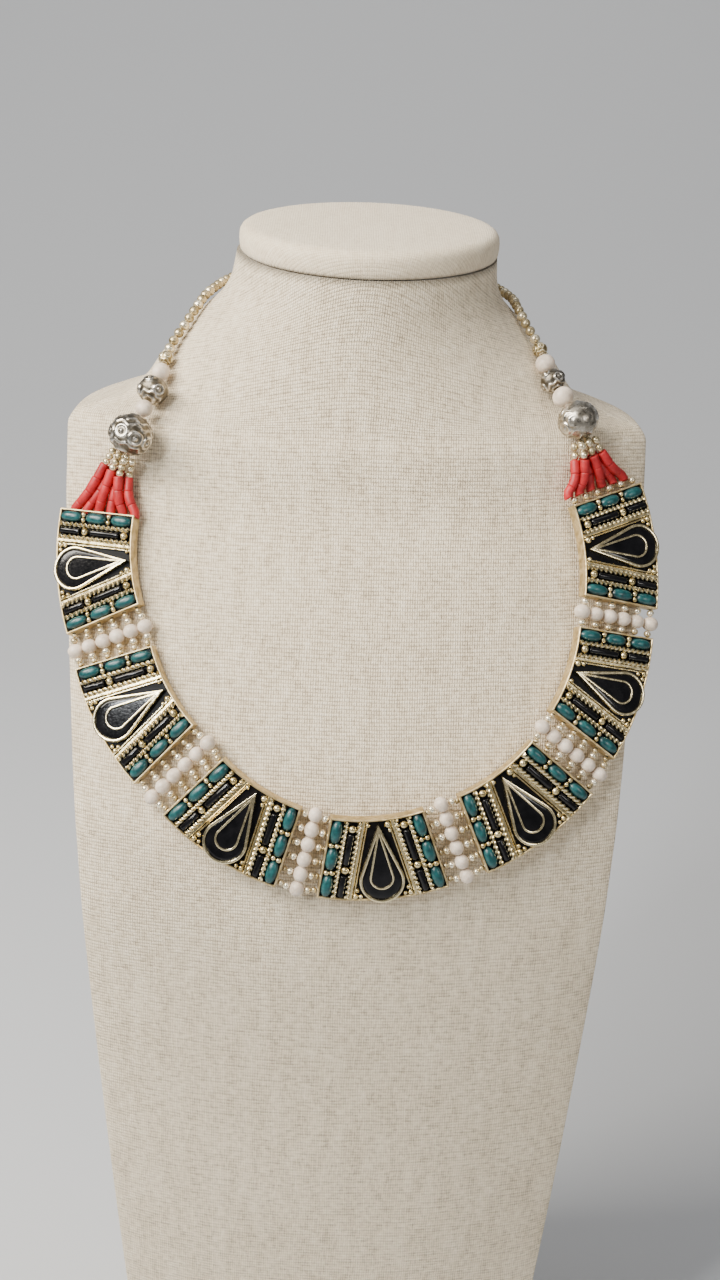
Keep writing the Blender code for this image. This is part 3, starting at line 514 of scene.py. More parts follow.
def drop_outline(length, width, end, height, grow):
    radius = width / 2 + grow
    foot = -PANEL_RADIAL / 2 - end
    centre = foot + width / 2
    tip = foot + length
    lean = acos(min((width / 2) / (tip - centre), 1.0))
    points = [Vector((0.0, tip + grow / sin(pi / 2 - lean), height))]
    for step in range(DROP_STEPS + 1):
        angle = pi / 2 + lean + (2 * pi - 2 * lean) * step / DROP_STEPS
        points.append(Vector((radius * cos(angle), centre + radius * sin(angle), height)))
    return points


def outer_drop(height, grow):
    return drop_outline(DROP_LENGTH, DROP_WIDTH, DROP_PROUD, height, grow)


def inner_drop(height, grow):
    length = DROP_LENGTH - INNER_DROP_END - BEZEL_WALL
    return drop_outline(length, INNER_DROP_WIDTH, DROP_PROUD - INNER_DROP_END, height, grow)


def strand_place(index):
    """How many strands this one lies outward of the middle."""
    return index - (STRANDS - 1) / 2


def hole_point(side, index):
    return side_point(MIDDLE_RADIUS + strand_place(index) * HOLE_PITCH, 0.0, side, HOLE_HEIGHT)


def side_turn(side):
    return Matrix.Rotation(radians(side * PANEL_SPAN / 2), 3, "Z")


def hole(placed, side, index):
    leaving = placed.to_3x3() @ side_turn(side) @ Vector((side, 0.0, 0.0))
    return placed @ hole_point(side, index) + leaving * CLEARANCE, leaving


def smooth_curve(points, steps):
    ends = [points[0] * 2 - points[1]] + list(points) + [points[-1] * 2 - points[-2]]
    found = []
    for before, start, end, after in zip(ends, ends[1:], ends[2:], ends[3:]):
        for step in range(steps):
            t = step / steps
            found.append(
                start
                + (end - before) * (t / 2)
                + (before * 2 - start * 5 + end * 4 - after) * (t * t / 2)
                + (start * 3 - before - end * 3 + after) * (t ** 3 / 2)
            )
    found.append(points[-1].copy())
    return found


def along_curve(points, distance):
    for start, end in zip(points, points[1:]):
        length = (end - start).length
        if distance <= length:
            return start.lerp(end, distance / length), (end - start).normalized()
        distance -= length
    return points[-1].copy(), (points[-1] - points[-2]).normalized()


def curve_length(points):
    return sum((end - start).length for start, end in zip(points, points[1:]))


def strand_route(placed, side, chosen):
    first, leaving = hole(placed, side, 0)
    last, _ = hole(placed, side, STRANDS - 1)
    start = (first + last) / 2
    points = [start, start + leaving * CORAL_BEAD]
    for turn, share, lift in chosen:
        height = share * BUST_HEIGHT
        points.append(bust_point(turn, height) + bust_outward(turn, height) * (lift * ORNATE + CLEARANCE))
    return smooth_curve(points, ROUTE_STEPS)


# Meshes, gathered from many small closed forms


def shown(name, data):
    made = bpy.data.objects.new(name, data)
    bpy.context.scene.collection.objects.link(made)
    return made


class Form:
    """The points and faces of one piece, and a mark for each point, which the materials read."""

    def __init__(self):
        self.points = []
        self.faces = []
        self.marks = []

    def add(self, points, faces, mark=0.0):
        first = len(self.points)
        self.points.extend([float(x) for x in point] for point in points)
        self.faces.extend(tuple(first + k for k in face) for face in faces)
        if np.ndim(mark):
            self.marks.extend(float(value) for value in mark)
        else:
            self.marks.extend([mark] * len(points))

    def loft(self, loops, closed=False, mark=0.0):
        """Joins loops of one count of points. Both ends are capped, or closed onto each other."""
        count = len(loops[0])
        faces = []
        for k in range(len(loops) if closed else len(loops) - 1):
            low, high = k * count, (k + 1) % len(loops) * count
            for j in range(count):
                after = (j + 1) % count
                faces.append((low + j, low + after, high + after, high + j))
        if not closed:
            faces.append(tuple(range(count - 1, -1, -1)))
            faces.append(tuple(range((len(loops) - 1) * count, len(loops) * count)))
        self.add([point for loop in loops for point in loop], faces, mark)

    def tube(self, path, radius, sides, up=(0.0, 0.0, 1.0), mark=0.0, closed=False):
        """A round tube along a path. The radius is one value or one for each point."""
        path = np.array([tuple(point) for point in path], float)
        radii = np.broadcast_to(np.asarray(radius, float), (len(path),))
        if closed:
            along = np.roll(path, -1, 0) - np.roll(path, 1, 0)
        else:
            along = np.vstack([path[1:], path[-1:]]) - np.vstack([path[:1], path[:-1]])
        along /= np.linalg.norm(along, axis=1)[:, None]
        across = np.cross(along, np.array(up, float))
        across /= np.linalg.norm(across, axis=1)[:, None]
        other = np.cross(across, along)
        loops = []
        angles = np.arange(sides) * 2 * pi / sides
        for k, point in enumerate(path):
            offsets = np.outer(np.cos(angles), across[k]) + np.outer(np.sin(angles), other[k])
            loops.append(point + offsets * radii[k])
        self.loft(loops, closed, mark)

    def ball(self, centre, size, along, length=None, fineness=BALL, shape=None, mark=0.0):
        """A round or oval bead. Shape gives a point's radius as a share, and its mark, by its angles."""
        segments, rings = fineness
        along = Vector(along).normalized()
        across = (FRONT - along * along.dot(FRONT)).normalized()
        other = along.cross(across)
        length = length or size
        loops, marks = [], []
        for ring in range(rings + 1):
            latitude = pi * (min(max(ring, POLE_GAP), rings - POLE_GAP) / rings - 0.5)
            loop = []
            for k in range(segments):
                angle = 2 * pi * k / segments
                share, seen = shape(angle, latitude) if shape else (1.0, mark)
                reach = cos(latitude) * size / 2 * share
                turned = across * cos(angle) + other * sin(angle)
                loop.append(Vector(centre) + along * (sin(latitude) * length / 2 * share) + turned * reach)
                marks.append(seen)
            loops.append(loop)
        self.loft(loops, False, marks)

    def placed(self, matrix):
        matrix = np.array(matrix, float)
        points = np.array(self.points, float)
        self.points = (points @ matrix[:3, :3].T + matrix[:3, 3]).tolist()
        return self

    def mesh(self, name, material):
        mesh = bpy.data.meshes.new(name)
        mesh.from_pydata(self.points, [], self.faces)
        mesh.materials.append(material)
        mesh.shade_smooth()
        return mesh

    def piece(self, name, look, node=None, angle=FLAT_ANGLE):
        """The finished piece, which rides on the frame and stands for the CAD node."""
        material, slot = LOOKS[look]
        mesh = self.mesh(name, material)
        mark = mesh.attributes.new("mark", "FLOAT", "POINT")
        mark.data.foreach_set("value", np.array(self.marks, np.float32))
        mesh.set_sharp_from_angle(angle=radians(angle))
        made = shown(name, mesh)
        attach(made, "root")
        if node:
            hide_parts(node)
        return made


# Materials


class Shader:
    """A node material, with short calls for the nodes it uses."""

    def __init__(self, name):
        self.material = bpy.data.materials.new(name)
        self.material.use_nodes = True
        self.tree = self.material.node_tree
        self.surface = self.tree.nodes["Principled BSDF"]

    def node(self, kind, settings=(), **inputs):
        made = self.tree.nodes.new(kind)
        for key, value in dict(settings).items():
            setattr(made, key, value)
        for key, value in inputs.items():
            self.feed(made.inputs[key.replace("_", " ")], value)
        return made

    def feed(self, socket, value):
        if isinstance(value, bpy.types.NodeSocket):
            self.tree.links.new(value, socket)
        elif socket.type == "RGBA":
            socket.default_value = (*value, 1.0)
        else:
            socket.default_value = value

    def math(self, operation, first, second=None):
        made = self.node("ShaderNodeMath", {"operation": operation})
        self.feed(made.inputs[0], first)
        if second is not None:
            self.feed(made.inputs[1], second)
        return made.outputs[0]

    def times(self, first, second):
        return self.math("MULTIPLY", first, second)

    def plus(self, first, second):
        return self.math("ADD", first, second)

    def less(self, first, second):
        return self.math("SUBTRACT", first, second)

    def value(self, name):
        return self.node("ShaderNodeAttribute", {"attribute_name": name}).outputs["Fac"]

    def noise(self, scale, detail=2.0, rough=0.5, vector=None):
        vector = vector or self.node("ShaderNodeTexCoord").outputs["Object"]
        made = self.node("ShaderNodeTexNoise", Vector=vector, Scale=scale, Detail=detail, Roughness=rough)
        return made.outputs["Fac"]

    def combine(self, x, y, z=0.0):
        return self.node("ShaderNodeCombineXYZ", X=x, Y=y, Z=z).outputs[0]

    def ramp(self, value, *stops):
        made = self.node("ShaderNodeValToRGB")
        self.feed(made.inputs[0], value)
        elements = made.color_ramp.elements
        while len(elements) < len(stops):
            elements.new(0.5)
        for element, (place, color) in zip(elements, stops):
            element.position = place
            element.color = (*color, 1.0)
        return made.outputs[0]

    def level(self, value, low, high, low_out=0.0, high_out=1.0):
        made = self.node("ShaderNodeMapRange")
        for socket, given in zip(made.inputs, (value, low, high, low_out, high_out)):
            self.feed(socket, given)
        return made.outputs[0]

    def dimmed(self, color, value):
        """The colour multiplied by a value."""
        made = self.node("ShaderNodeMix", {"data_type": "RGBA", "blend_type": "MULTIPLY"})
        for index, given in ((0, 1.0), (6, color), (7, self.combine(value, value, value))):
            self.feed(made.inputs[index], given)
        return made.outputs[2]

    def bump(self, height, distance, strength=1.0):
        made = self.node("ShaderNodeBump", Height=height, Distance=distance, Strength=strength)
        self.feed(self.surface.inputs["Normal"], made.outputs[0])

    def finish(self, color, roughness, **others):
        self.feed(self.surface.inputs["Base Color"], color)
        self.feed(self.surface.inputs["Roughness"], roughness)
        for key, value in others.items():
            self.feed(self.surface.inputs[key.replace("_", " ")], value)
        return self.material


def linen_material(name, contrast):
    """Plain weave: thicker weft rows, finer warp columns, short slubs and gaps between the threads."""
    shade = Shader(name)
    times, plus, level, noise = shade.times, shade.plus, shade.level, shade.noise

    def wandering(thread, scale, reach):
        return plus(shade.value(thread), times(noise(scale), reach))

    def stretched(across, up):
        return shade.combine(times(u, across), times(v, up))

    u = wandering("thread_u", scale=38.0, reach=1.6)
    v = wandering("thread_v", scale=31.0, reach=1.9)
    column = shade.math("SINE", times(u, pi / WARP_PITCH))
    row = shade.math("SINE", times(v, pi / WEFT_PITCH))
    over = shade.math("GREATER_THAN", times(column, row), 0.0)
    column = shade.math("ABSOLUTE", column)
    row = shade.math("ABSOLUTE", row)
    warp = times(shade.math("POWER", column, 0.9), shade.math("POWER", row, 0.35))
    weft = times(shade.math("POWER", column, 0.3), shade.math("POWER", row, 0.8))
    raised = plus(times(warp, over), times(weft, shade.less(1.0, over)))
    rows = stretched(across=0.28, up=0.83)
    slub = noise(1.0, 1.5, vector=rows)
    end = noise(1.0, 1.5, vector=stretched(across=1.28, up=0.30))
    thread = plus(level(slub, 0.3, 0.7, -0.5, 0.5), level(end, 0.3, 0.7, -0.4, 0.4))
    streak = noise(1.0, 3.0, vector=stretched(across=0.22, up=0.05))
    dash = level(noise(2.3, 1.0, vector=rows), 0.58, 0.78, 0.0, -0.48)
    dash = plus(dash, level(streak, 0.35, 0.65, -0.22, 0.20))
    tone = plus(times(thread, 0.80), level(raised, 0.15, 0.85, -0.62, 0.36))
    color = shade.ramp(
        level(times(plus(tone, dash), contrast), -1.2, 1.0),
        (0.0, (0.37, 0.30, 0.215)),
        (0.35, (0.66, 0.545, 0.38)),
        (0.62, (0.82, 0.70, 0.515)),
        (1.0, (0.93, 0.825, 0.65)),
    )
    color = shade.dimmed(color, level(noise(14.0, 3.0), 0.3, 0.7, 0.95, 1.03))
    # Painted shade: darker where the mark is high, on the linen just below the pad's seam and on the
    # underside of the pad's rim
    color = shade.dimmed(color, level(shade.value("mark"), 0.0, 1.0, 1.0, 0.42))
    height = plus(times(thread, 0.35), raised)
    height = plus(height, times(noise(2600.0), 0.22))
    shade.bump(height, 0.00022, contrast)
    return shade.finish(color, 0.93, Sheen_Weight=0.2, Sheen_Roughness=0.5, Specular_IOR_Level=0.2)


def metal_material(name, tones, roughness, metallic=1.0):
    """Worn plated metal: tarnish in patches and where the mark is high, and fine scratches in the finish. On
    the ropes the mark is painted shade in the grooves and a painted highlight on the crests.
    """
    shade = Shader(name)
    # Tone from tarnish, and from the mark: tarnish, and on the ropes painted shade and painted highlight
    tarnish_and_painted_light = shade.less(shade.noise(420.0, 4.0, 0.6), shade.times(shade.value("mark"), 0.6))
    color = shade.ramp(tarnish_and_painted_light, *zip((0.12, 0.42, 0.62), tones))
    shine = shade.level(shade.noise(900.0, 3.0), 0.3, 0.7, roughness - 0.06, roughness + 0.12)
    shine = shade.plus(shine, shade.times(shade.value("mark"), 0.2))
    shade.bump(shade.noise(1440.0), 0.00004, 0.5)
    return shade.finish(color, shine, Metallic=metallic)


def black_material():
    """Black stone and filler: glossy, with faint clouds and small pits."""
    shade = Shader("black_inlay")
    mark = shade.value("mark")
    clouds = shade.noise(260.0, 4.0)
    color = shade.ramp(clouds, (0.35, (0.0020, 0.0020, 0.0026)), (0.75, (0.0075, 0.0072, 0.0085)))
    pits = shade.noise(1500.0)
    shade.bump(pits, 0.00005, 0.35)
    dull = shade.plus(shade.level(pits, 0.3, 0.7, 0.08, 0.16), shade.times(mark, 0.3))
    return shade.finish(color, dull, Specular_IOR_Level=shade.level(mark, 0.0, 0.8, 0.30, 0.10))


def teal_material():
    """Dark teal stone: clouds, and rims darkened as painted shade where the mark is high, under a polished
    skin.
    """
    shade = Shader("teal_stone")
    clouds = shade.noise(640.0, 5.0, 0.55)
    # Painted shade: the mark darkens the low rim of each dome
    color = shade.ramp(
        shade.less(clouds, shade.times(shade.value("mark"), 0.34)),
        (0.10, (0.002, 0.009, 0.012)),
        (0.34, (0.003, 0.035, 0.039)),
        (0.56, (0.005, 0.074, 0.077)),
        (0.76, (0.018, 0.118, 0.122)),
    )
    shade.bump(shade.noise(1300.0), 0.00005, 0.4)
    roughness = shade.level(clouds, 0.3, 0.7, 0.30, 0.44)
    return shade.finish(color, roughness, Coat_Weight=0.12, Coat_Roughness=0.2)


def bead_material(name, tones, roughness, inner):
    """Soft stone or coral: light clouds, a little depth and a satin skin."""
    shade = Shader(name)
    clouds = shade.noise(340.0, 4.0, 0.6)
    shifted = shade.less(clouds, shade.times(shade.value("mark"), 0.35))
    color = shade.ramp(shifted, *zip((0.22, 0.62), tones))
    shade.bump(shade.noise(1100.0, 3.0), 0.00007, 0.6)
    return shade.finish(
        color,
        shade.level(clouds, 0.3, 0.7, roughness - 0.05, roughness + 0.08),
        Subsurface_Weight=inner,
        Subsurface_Radius=(0.004, 0.0025, 0.0018),
        Subsurface_Scale=0.4,
    )


def stage_material():
    shade = Shader("stage_paint")
    cloud = shade.level(shade.noise(2.2), 0.3, 0.7, 0.985, 1.0)
    return shade.finish(shade.dimmed(STAGE_COLOR, cloud), 0.85, Specular_IOR_Level=0.2)


# Each look's material and slot
LOOKS = {
    "linen": (linen_material("natural_linen", 1.0), "linen"),
    "pad_linen": (linen_material("padded_linen", 0.5), "linen"),
    "brass": (metal_material("pale_brass", PALE_BRASS, 0.40, 0.85), "white_metal"),
    "white_metal": (metal_material("white_metal", WHITE_METAL, 0.24), "white_metal"),
    "silver": (metal_material("old_silver", OLD_SILVER, 0.24), "old_silver"),
    "pearl": (metal_material("silver_seeds", SILVER_SEEDS, 0.24, 0.8), "old_silver"),
    "black": (black_material(), "black_inlay"),
    "teal": (teal_material(), "teal_stone"),
    "white": (bead_material("white_stone", WHITE_STONE, 0.40, 0.12), "white_stone"),
    "coral": (bead_material("red_coral", RED_CORAL, 0.50, 0.03), "red_coral"),
}


# The bust


def thread_lengths(loops):
    """The thread coordinates of the rings, in mm: along the row from the front, and up the column."""
    thread_u, thread_v = [], []
    climbed = [0.0] * LINEN_SIDES
    for below, loop in zip(loops[:1] + loops, loops):
        run = list(accumulate(((end - start).length for start, end in zip(loop, loop[1:])), initial=0.0))
        climbed = [rise + (high - low).length for rise, low, high in zip(climbed, below, loop)]
        thread_u.extend((length - run[LINEN_SIDES // 2]) / MM for length in run)
        thread_v.extend(length / MM for length in climbed)
    return thread_u, thread_v


def add_threads(made, thread_u, thread_v):
    for name, values in (("thread_u", thread_u), ("thread_v", thread_v)):
        attribute = made.data.attributes.new(name, "FLOAT", "POINT")
        attribute.data.foreach_set("value", np.array(values, np.float32))


def build_bust():
    top = BUST_HEIGHT - PAD_HEIGHT - CLEARANCE
    count = round(top / LINEN_RISE)
    heights = {top * k / count for k in range(count + 1)}
    heights |= {row[0] * BUST_HEIGHT for row in BUST_ROWS if row[0] * BUST_HEIGHT < top}
    heights |= {(EDGE_FROM + EDGE_STEP * k) * BUST_HEIGHT for k in range(EDGE_RINGS)}
    heights = sorted(heights)
    heights = [height for k, height in enumerate(heights) if k == 0 or height - heights[k - 1] > RINGS_APART]
    loops = [[bust_point(turn, height) for turn in LINEN_TURNS] for height in heights]
    # The mark paints shade onto the linen just below the seam under the pad
    marks = [max(0.0, 1 - (top - height) / SEAM_SHADE) for height in heights for _ in LINEN_TURNS]
    form = Form()
    form.loft(loops, mark=marks)
    add_threads(form.piece("linen_bust", "linen", "neck_bust", LINEN_ANGLE), *thread_lengths(loops))


def build_pad():
    """The padded top: a soft rim over the seam, and a top that the padding crowns a little."""
    base = BUST_HEIGHT - PAD_HEIGHT
    ring = [bust_point(turn, BUST_HEIGHT) for turn in LINEN_TURNS]
    centre = sum(ring, Vector()) / len(ring)
    loops, marks = [], []
    for share, grow in PAD_RIM:
        loop = []
        for point in ring:
            out = Vector((point.x, point.y, 0.0)).normalized()
            loop.append(Vector((point.x, point.y, base + PAD_HEIGHT * share)) + out * (grow * PAD_OVERHANG))
        loops.append(loop)
        # The mark paints shade on the underside of the rim, darkest at its bottom
        marks.extend([max(0.0, 1 - share / PAD_SHADE)] * len(loop))
    rim = loops[-1]
    flat = PAD_RIM[-1][0]
    for scale in CROWN_SCALES:
        crown = base + PAD_HEIGHT * (flat + (1 - flat) * (1 - scale ** 2))
        loops.append([Vector((*(centre.xy + (p.xy - centre.xy) * scale * CROWN_INSET), crown)) for p in rim])
        marks.extend([0.0] * len(ring))
    form = Form()
    form.loft(loops, mark=marks)
    made = form.piece("linen_pad", "pad_linen", "neck_pad", LINEN_ANGLE)
    thread_u, thread_v = [], []
    for point in (point for loop in loops for point in loop):
        drop = max(0.0, base + PAD_HEIGHT * PAD_FOLD - point.z)
        away = (point.xy - centre.xy).normalized() * drop
        thread_u.append((point.x + away.x) / MM)
        thread_v.append((point.y + away.y) / MM)
    add_threads(made, thread_u, thread_v)


# One panel, in its own frame


def tray_form(form):
    """The tray: back, side walls with softened edges, and a metal floor under the filling."""
    rows = (
        (EDGE_SOFT, 0.0),
        (0.0, EDGE_SOFT),
        (0.0, TRAY_DEPTH - EDGE_SOFT),
        (EDGE_SOFT, TRAY_DEPTH),
        (TRAY_WALL - EDGE_SOFT, TRAY_DEPTH),
        (TRAY_WALL, TRAY_DEPTH - EDGE_SOFT),
        (TRAY_WALL, TRAY_FLOOR),
    )
    form.loft([sector(inset, height) for inset, height in rows])


def eyelets(metal, dark):
    """The strand holes in the two side walls, each with a turned rim and a flat matte black disc of painted
    shade in its opening.
    """
    for side in (-1, 1):
        out = side_turn(side) @ Vector((side, 0.0, 0.0))
        inward = side_turn(side) @ Vector((0.0, 1.0, 0.0))
        for k in range(STRANDS):
            centre = hole_point(side, k)
            ring = []
            for step in range(EYELET_SIDES):
                angle = 2 * pi * step / EYELET_SIDES
                ring.append(centre + (inward * cos(angle) + Vector((0, 0, 1)) * sin(angle)) * EYELET)
            metal.tube(ring, EYELET_WIRE, 6, up=out, closed=True)
            # A flat black disc paints the shade inside the hole
            dark.ball(centre, EYELET * 1.9, out, 0.18 * MM, HOLE_DISC, mark=1.0)


def column_radii(inset, steps):
    """Radii from the inner end of a column to its outer end, this far inside both."""
    return [INNER_RADIUS + inset + (PANEL_RADIAL - 2 * inset) * step / steps for step in range(steps + 1)]


def twisted_rope(form, offset, side):
    """Two strands twisted round each other along a column, a little uneven as hand work is."""
    steps = ROPE_RIDGES * ROPE_STEPS
    phase = chance(0, pi)
    for strand in (0.0, pi):
        path, marks = [], []
        for step, radius in enumerate(column_radii(TRAY_WALL + ROPE_INSET, steps)):
            share = step / steps
            wobble = ROPE_WOBBLE * sin(share * WOBBLE_RATE + phase)
            angle = phase + strand + share * pi * ROPE_RIDGES + wobble
            height = PIECE_LOW + ROPE_WIRE / 2 + sin(angle) * ROPE_COIL
            path.append(side_point(radius, offset + cos(angle) * ROPE_COIL, side, height))
            # Painted light: the mark darkens the low side of each strand as painted shade and brightens its
            # top as a painted highlight
            marks.extend([ROPE_PAINTED_SHADE - CREST_PAINTED_LIGHT * sin(angle)] * ROPE_SIDES)
        form.tube(path, ROPE_STRAND, ROPE_SIDES, mark=marks)


def rounded_wire(form, offset, side, width, high):
    """A drawn flat wire along a column."""
    low = PIECE_LOW - CLEARANCE
    soft = width * WIRE_SOFT
    half = ((-0.5, low), (-0.5, high - soft), (-0.5 + WIRE_SOFT, high))
    section = half + tuple((-share, height) for share, height in reversed(half))
    loops = []
    for radius in column_radii(WIRE_INSET, WIRE_STEPS):
        loops.append([side_point(radius, offset + share * width, side, height) for share, height in section])
    form.loft(loops, mark=POLISHED)


def ring_wire(form, outline, wall, low, high):
    """A wire bent round a drop, with rounded edges."""
    soft = wall * RING_SOFT
    bevel = soft * 0.3
    half = ((low, 0.0), (high - soft, 0.0), (high - bevel, bevel), (high, soft))
    rows = half + tuple((height, wall - inset) for height, inset in reversed(half))
    form.loft([outline(height, -inset) for height, inset in rows], closed=True, mark=POLISHED)


def granules(form):
    """The soldered balls: in the rod columns, between the stones, and in the corners beside the drop."""
    base = PIECE_LOW - CLEARANCE

    def put(radius, offset, side, size, lift=0.0):
        radius += chance(-GRANULE_SHAKE, GRANULE_SHAKE)
        place = side_point(radius, offset, side, base + size * GRANULE_SUNK + lift)
        form.ball(place, size * chance(0.94, 1.05), (0.3, 0.1, 1.0))

    for side in (-1, 1):
        for share in GRANULE_AT:
            put(OUTER_RADIUS - PANEL_RADIAL * share, ROD_AT, side, GRANULE, 0.25 * MM)
        for gap in range(1, STONES):
            radius = INNER_RADIUS + STONE_INSET + gap * STONE_LENGTH + (gap - 0.5) * STONE_SPACE
            for shift in (-0.51, 0.51):
                put(radius, STONE_AT + shift * SMALL_GRANULE, side, SMALL_GRANULE, 0.35 * MM)
        for inset, offset, size in CORNER_GRANULES:
            put(OUTER_RADIUS - inset * MM, offset * MM, side, size * MM)
    for side, inset, offset, size in TIP_GRANULES:
        put(INNER_RADIUS + inset * MM, offset * MM, side, size * MM)


def rods(form):
    """The black round rods of both columns, with softened ends."""
    for side in (-1, 1):
        for start, end in ROD_ENDS:
            first = OUTER_RADIUS - PANEL_RADIAL * start
            last = OUTER_RADIUS - PANEL_RADIAL * end
            tilt = chance(-0.1, 0.1) * MM
            height = INLAY_TOP + ROD / 2 + chance(-0.1, 0.05) * MM
            path = []
            for share, _ in ROD_PROFILE:
                radius = first + (last - first) * share
                path.append(side_point(radius, ROD_AT + tilt * (share - 0.5), side, height))
            form.tube(path, [ROD / 2 * fat for _, fat in ROD_PROFILE], 18)


def ground(form):
    """The black filling of the tray, up to the foot of the wires."""
    inset = TRAY_WALL + GROUND_INSET
    form.loft([sector(inset, INLAY_LOW), sector(inset, INLAY_TOP + GROUND_RISE)], mark=GROUND_MARK)


def drop_stone(form):
    """The black drop in its bezel, with a crowned top that the inner wire is set into."""
    rim = BEZEL_TOP - RIM_BELOW
    grow = SOLDER - BEZEL_LOOK
    crown = [outer_drop(rim + rise * MM, grow - inset * MM) for rise, inset in DROP_CROWN]
    form.loft([outer_drop(PIECE_LOW, grow)] + crown)


def oval(angle, power, reach):
    """One coordinate of a slightly squared oval, from its cosine or sine."""
    return copysign(abs(angle) ** power, angle) * reach


def cabochons(form, side):
    """Three oval domed stones of one row, each a little different."""
    for stone in range(STONES):
        start = INNER_RADIUS + STONE_INSET + stone * (STONE_LENGTH + STONE_SPACE)
        run = STONE_LENGTH + 0.7 * MM * chance(0.2, 1.0)
        centre = start + STONE_LENGTH / 2
        width = STONE_WIDTH * chance(1.06, 1.16)
        tall = STONE_HEIGHT * chance(1.04, 1.16)
        loops, marks = [], []
        for share, rise in DOME:
            loop = []
            for k in range(DOME_SIDES):
                angle = 2 * pi * k / DOME_SIDES
                across = oval(cos(angle), 0.88, width / 2 * share)
                along = oval(sin(angle), 0.86, run / 2 * share)
                loop.append(side_point(centre + along, STONE_AT + across, side, PIECE_LOW + rise * tall))
            loops.append(loop)
            # The mark paints shade on the dome's rim, darker the lower it lies
            marks.extend([max(0.0, 1.1 - rise * 1.5)] * DOME_SIDES)
        form.loft(loops, mark=marks)


def build_panels(frames):
    for number, placed in enumerate(frames, 1):
        tray, wires, holes, inlay, stone = (Form() for _ in range(5))
        tray_form(tray)
        eyelets(tray, holes)
        for side in (-1, 1):
            for offset in (ROPE_AT, SECOND_ROPE_AT):
                twisted_rope(wires, offset, side)
            rounded_wire(wires, BAND_AT, side, BAND_WIRE, DROP_TOP + 0.2 * MM)
            rounded_wire(wires, THIN_WIRE_AT, side, THIN_WIRE, DROP_TOP - 0.15 * MM)
        granules(wires)
        ring_wire(wires, outer_drop, BEZEL_LOOK, INLAY_TOP, BEZEL_TOP)
        ring_wire(wires, inner_drop, INNER_WIRE * 1.15, DROP_TOP, BEZEL_TOP + SOLDER)
        rods(inlay)
        ground(inlay)
        drop_stone(stone)
        tray.placed(placed).piece(f"tray_{number}", "brass", f"panel_tray_{number}")
        wires.placed(placed).piece(f"wires_{number}", "white_metal")
        # The holes' black discs are painted shade in the openings
        holes.placed(placed).piece(f"holes_{number}", "black")
        inlay.placed(placed).piece(f"inlay_{number}", "black", f"panel_inlay_{number}")
        stone.placed(placed).piece(f"drop_{number}", "black", f"teardrop_{number}")
        for letter, side in (("a", -1), ("b", 1)):
            row = Form()
            cabochons(row, side)
            label = f"{number}{letter}"
            row.placed(placed).piece(f"cabochons_{label}", "teal", f"stone_row_{label}", STONE_ANGLE)


# Strands and beads


def worn_round(_, latitude):
    """A round bead with slightly flattened ends."""
    return 1.0 + 0.04 * cos(2 * latitude) - 0.03, 0.0


def bead_row(form, start, end, size):
    """Round beads side by side from start to end, as many as fit."""
    along = end - start
    count = max(1, round(along.length / size))
    for k in range(count):
        centre = start + along * ((k + 0.5) / count)
        width = size * chance(0.93, 1.03)
        form.ball(centre, width, along, along.length / count * BEAD_FILL, ROW_BALL, mark=chance(0.0, 0.35))


def build_gaps(frames):
    """In each gap a white bead on every strand, with a large and a small seed on both its sides."""
    for number, (first, second) in enumerate(zip(frames, frames[1:]), 1):
        ends = [(hole(first, 1, k)[0], hole(second, -1, k)[0]) for k in range(STRANDS)]
        middles = [(start + end) / 2 for start, end in ends]
        row = (middles[-1] - middles[0]).normalized()
        centre = sum(middles, Vector()) / STRANDS
        whites, seeds = Form(), Form()
        for k, (start, end) in enumerate(ends):
            bead = centre + row * (strand_place(k) * (GAP_BEAD - BEAD_OVERLAP))
            along = (end - start).normalized()
            size = GAP_BEAD * chance(0.93, 1.0)
            whites.ball(bead, size, along, size * 0.97, GAP_BALL, worn_round)
            for stop, near in ((start, -1), (end, 1)):
                edge = bead + along * (near * size * 0.47)
                reach = stop - edge
                way = reach.normalized()
                pearl = min(SEED * SEED_LENGTH, reach.length)
                seeds.ball(edge + way * pearl * 0.5, SEED, way, pearl, mark=chance(-0.4, 0.1))
                rest = reach.length - pearl
                if rest > SEED_ROOM:
                    place = edge + way * (pearl + rest / 2)
                    seeds.ball(place, SMALL_SEED, way, rest, mark=chance(0.1, 0.45))
        whites.piece(f"white_beads_{number}", "white", f"gap_strands_{number}", ROUND_ANGLE)
        seeds.piece(f"gap_seeds_{number}", "pearl", angle=ROUND_ANGLE)


def coral_strand(form, points):
    """Tube beads end to end along a bent line."""
    line = smooth_curve(points, 8)
    total = curve_length(line)
    count = round(total / CORAL_TUBE)
    for k in range(count):
        size = CORAL_BEAD / 2 * chance(0.93, 1.04)
        path = [along_curve(line, (k + share) * (total / count))[0] for share, _ in TUBE_PROFILE]
        radii = [size * fat for _, fat in TUBE_PROFILE]
        form.tube(path, radii, 14, up=(0.0, -1.0, 0.2), mark=chance(0.0, 0.35))


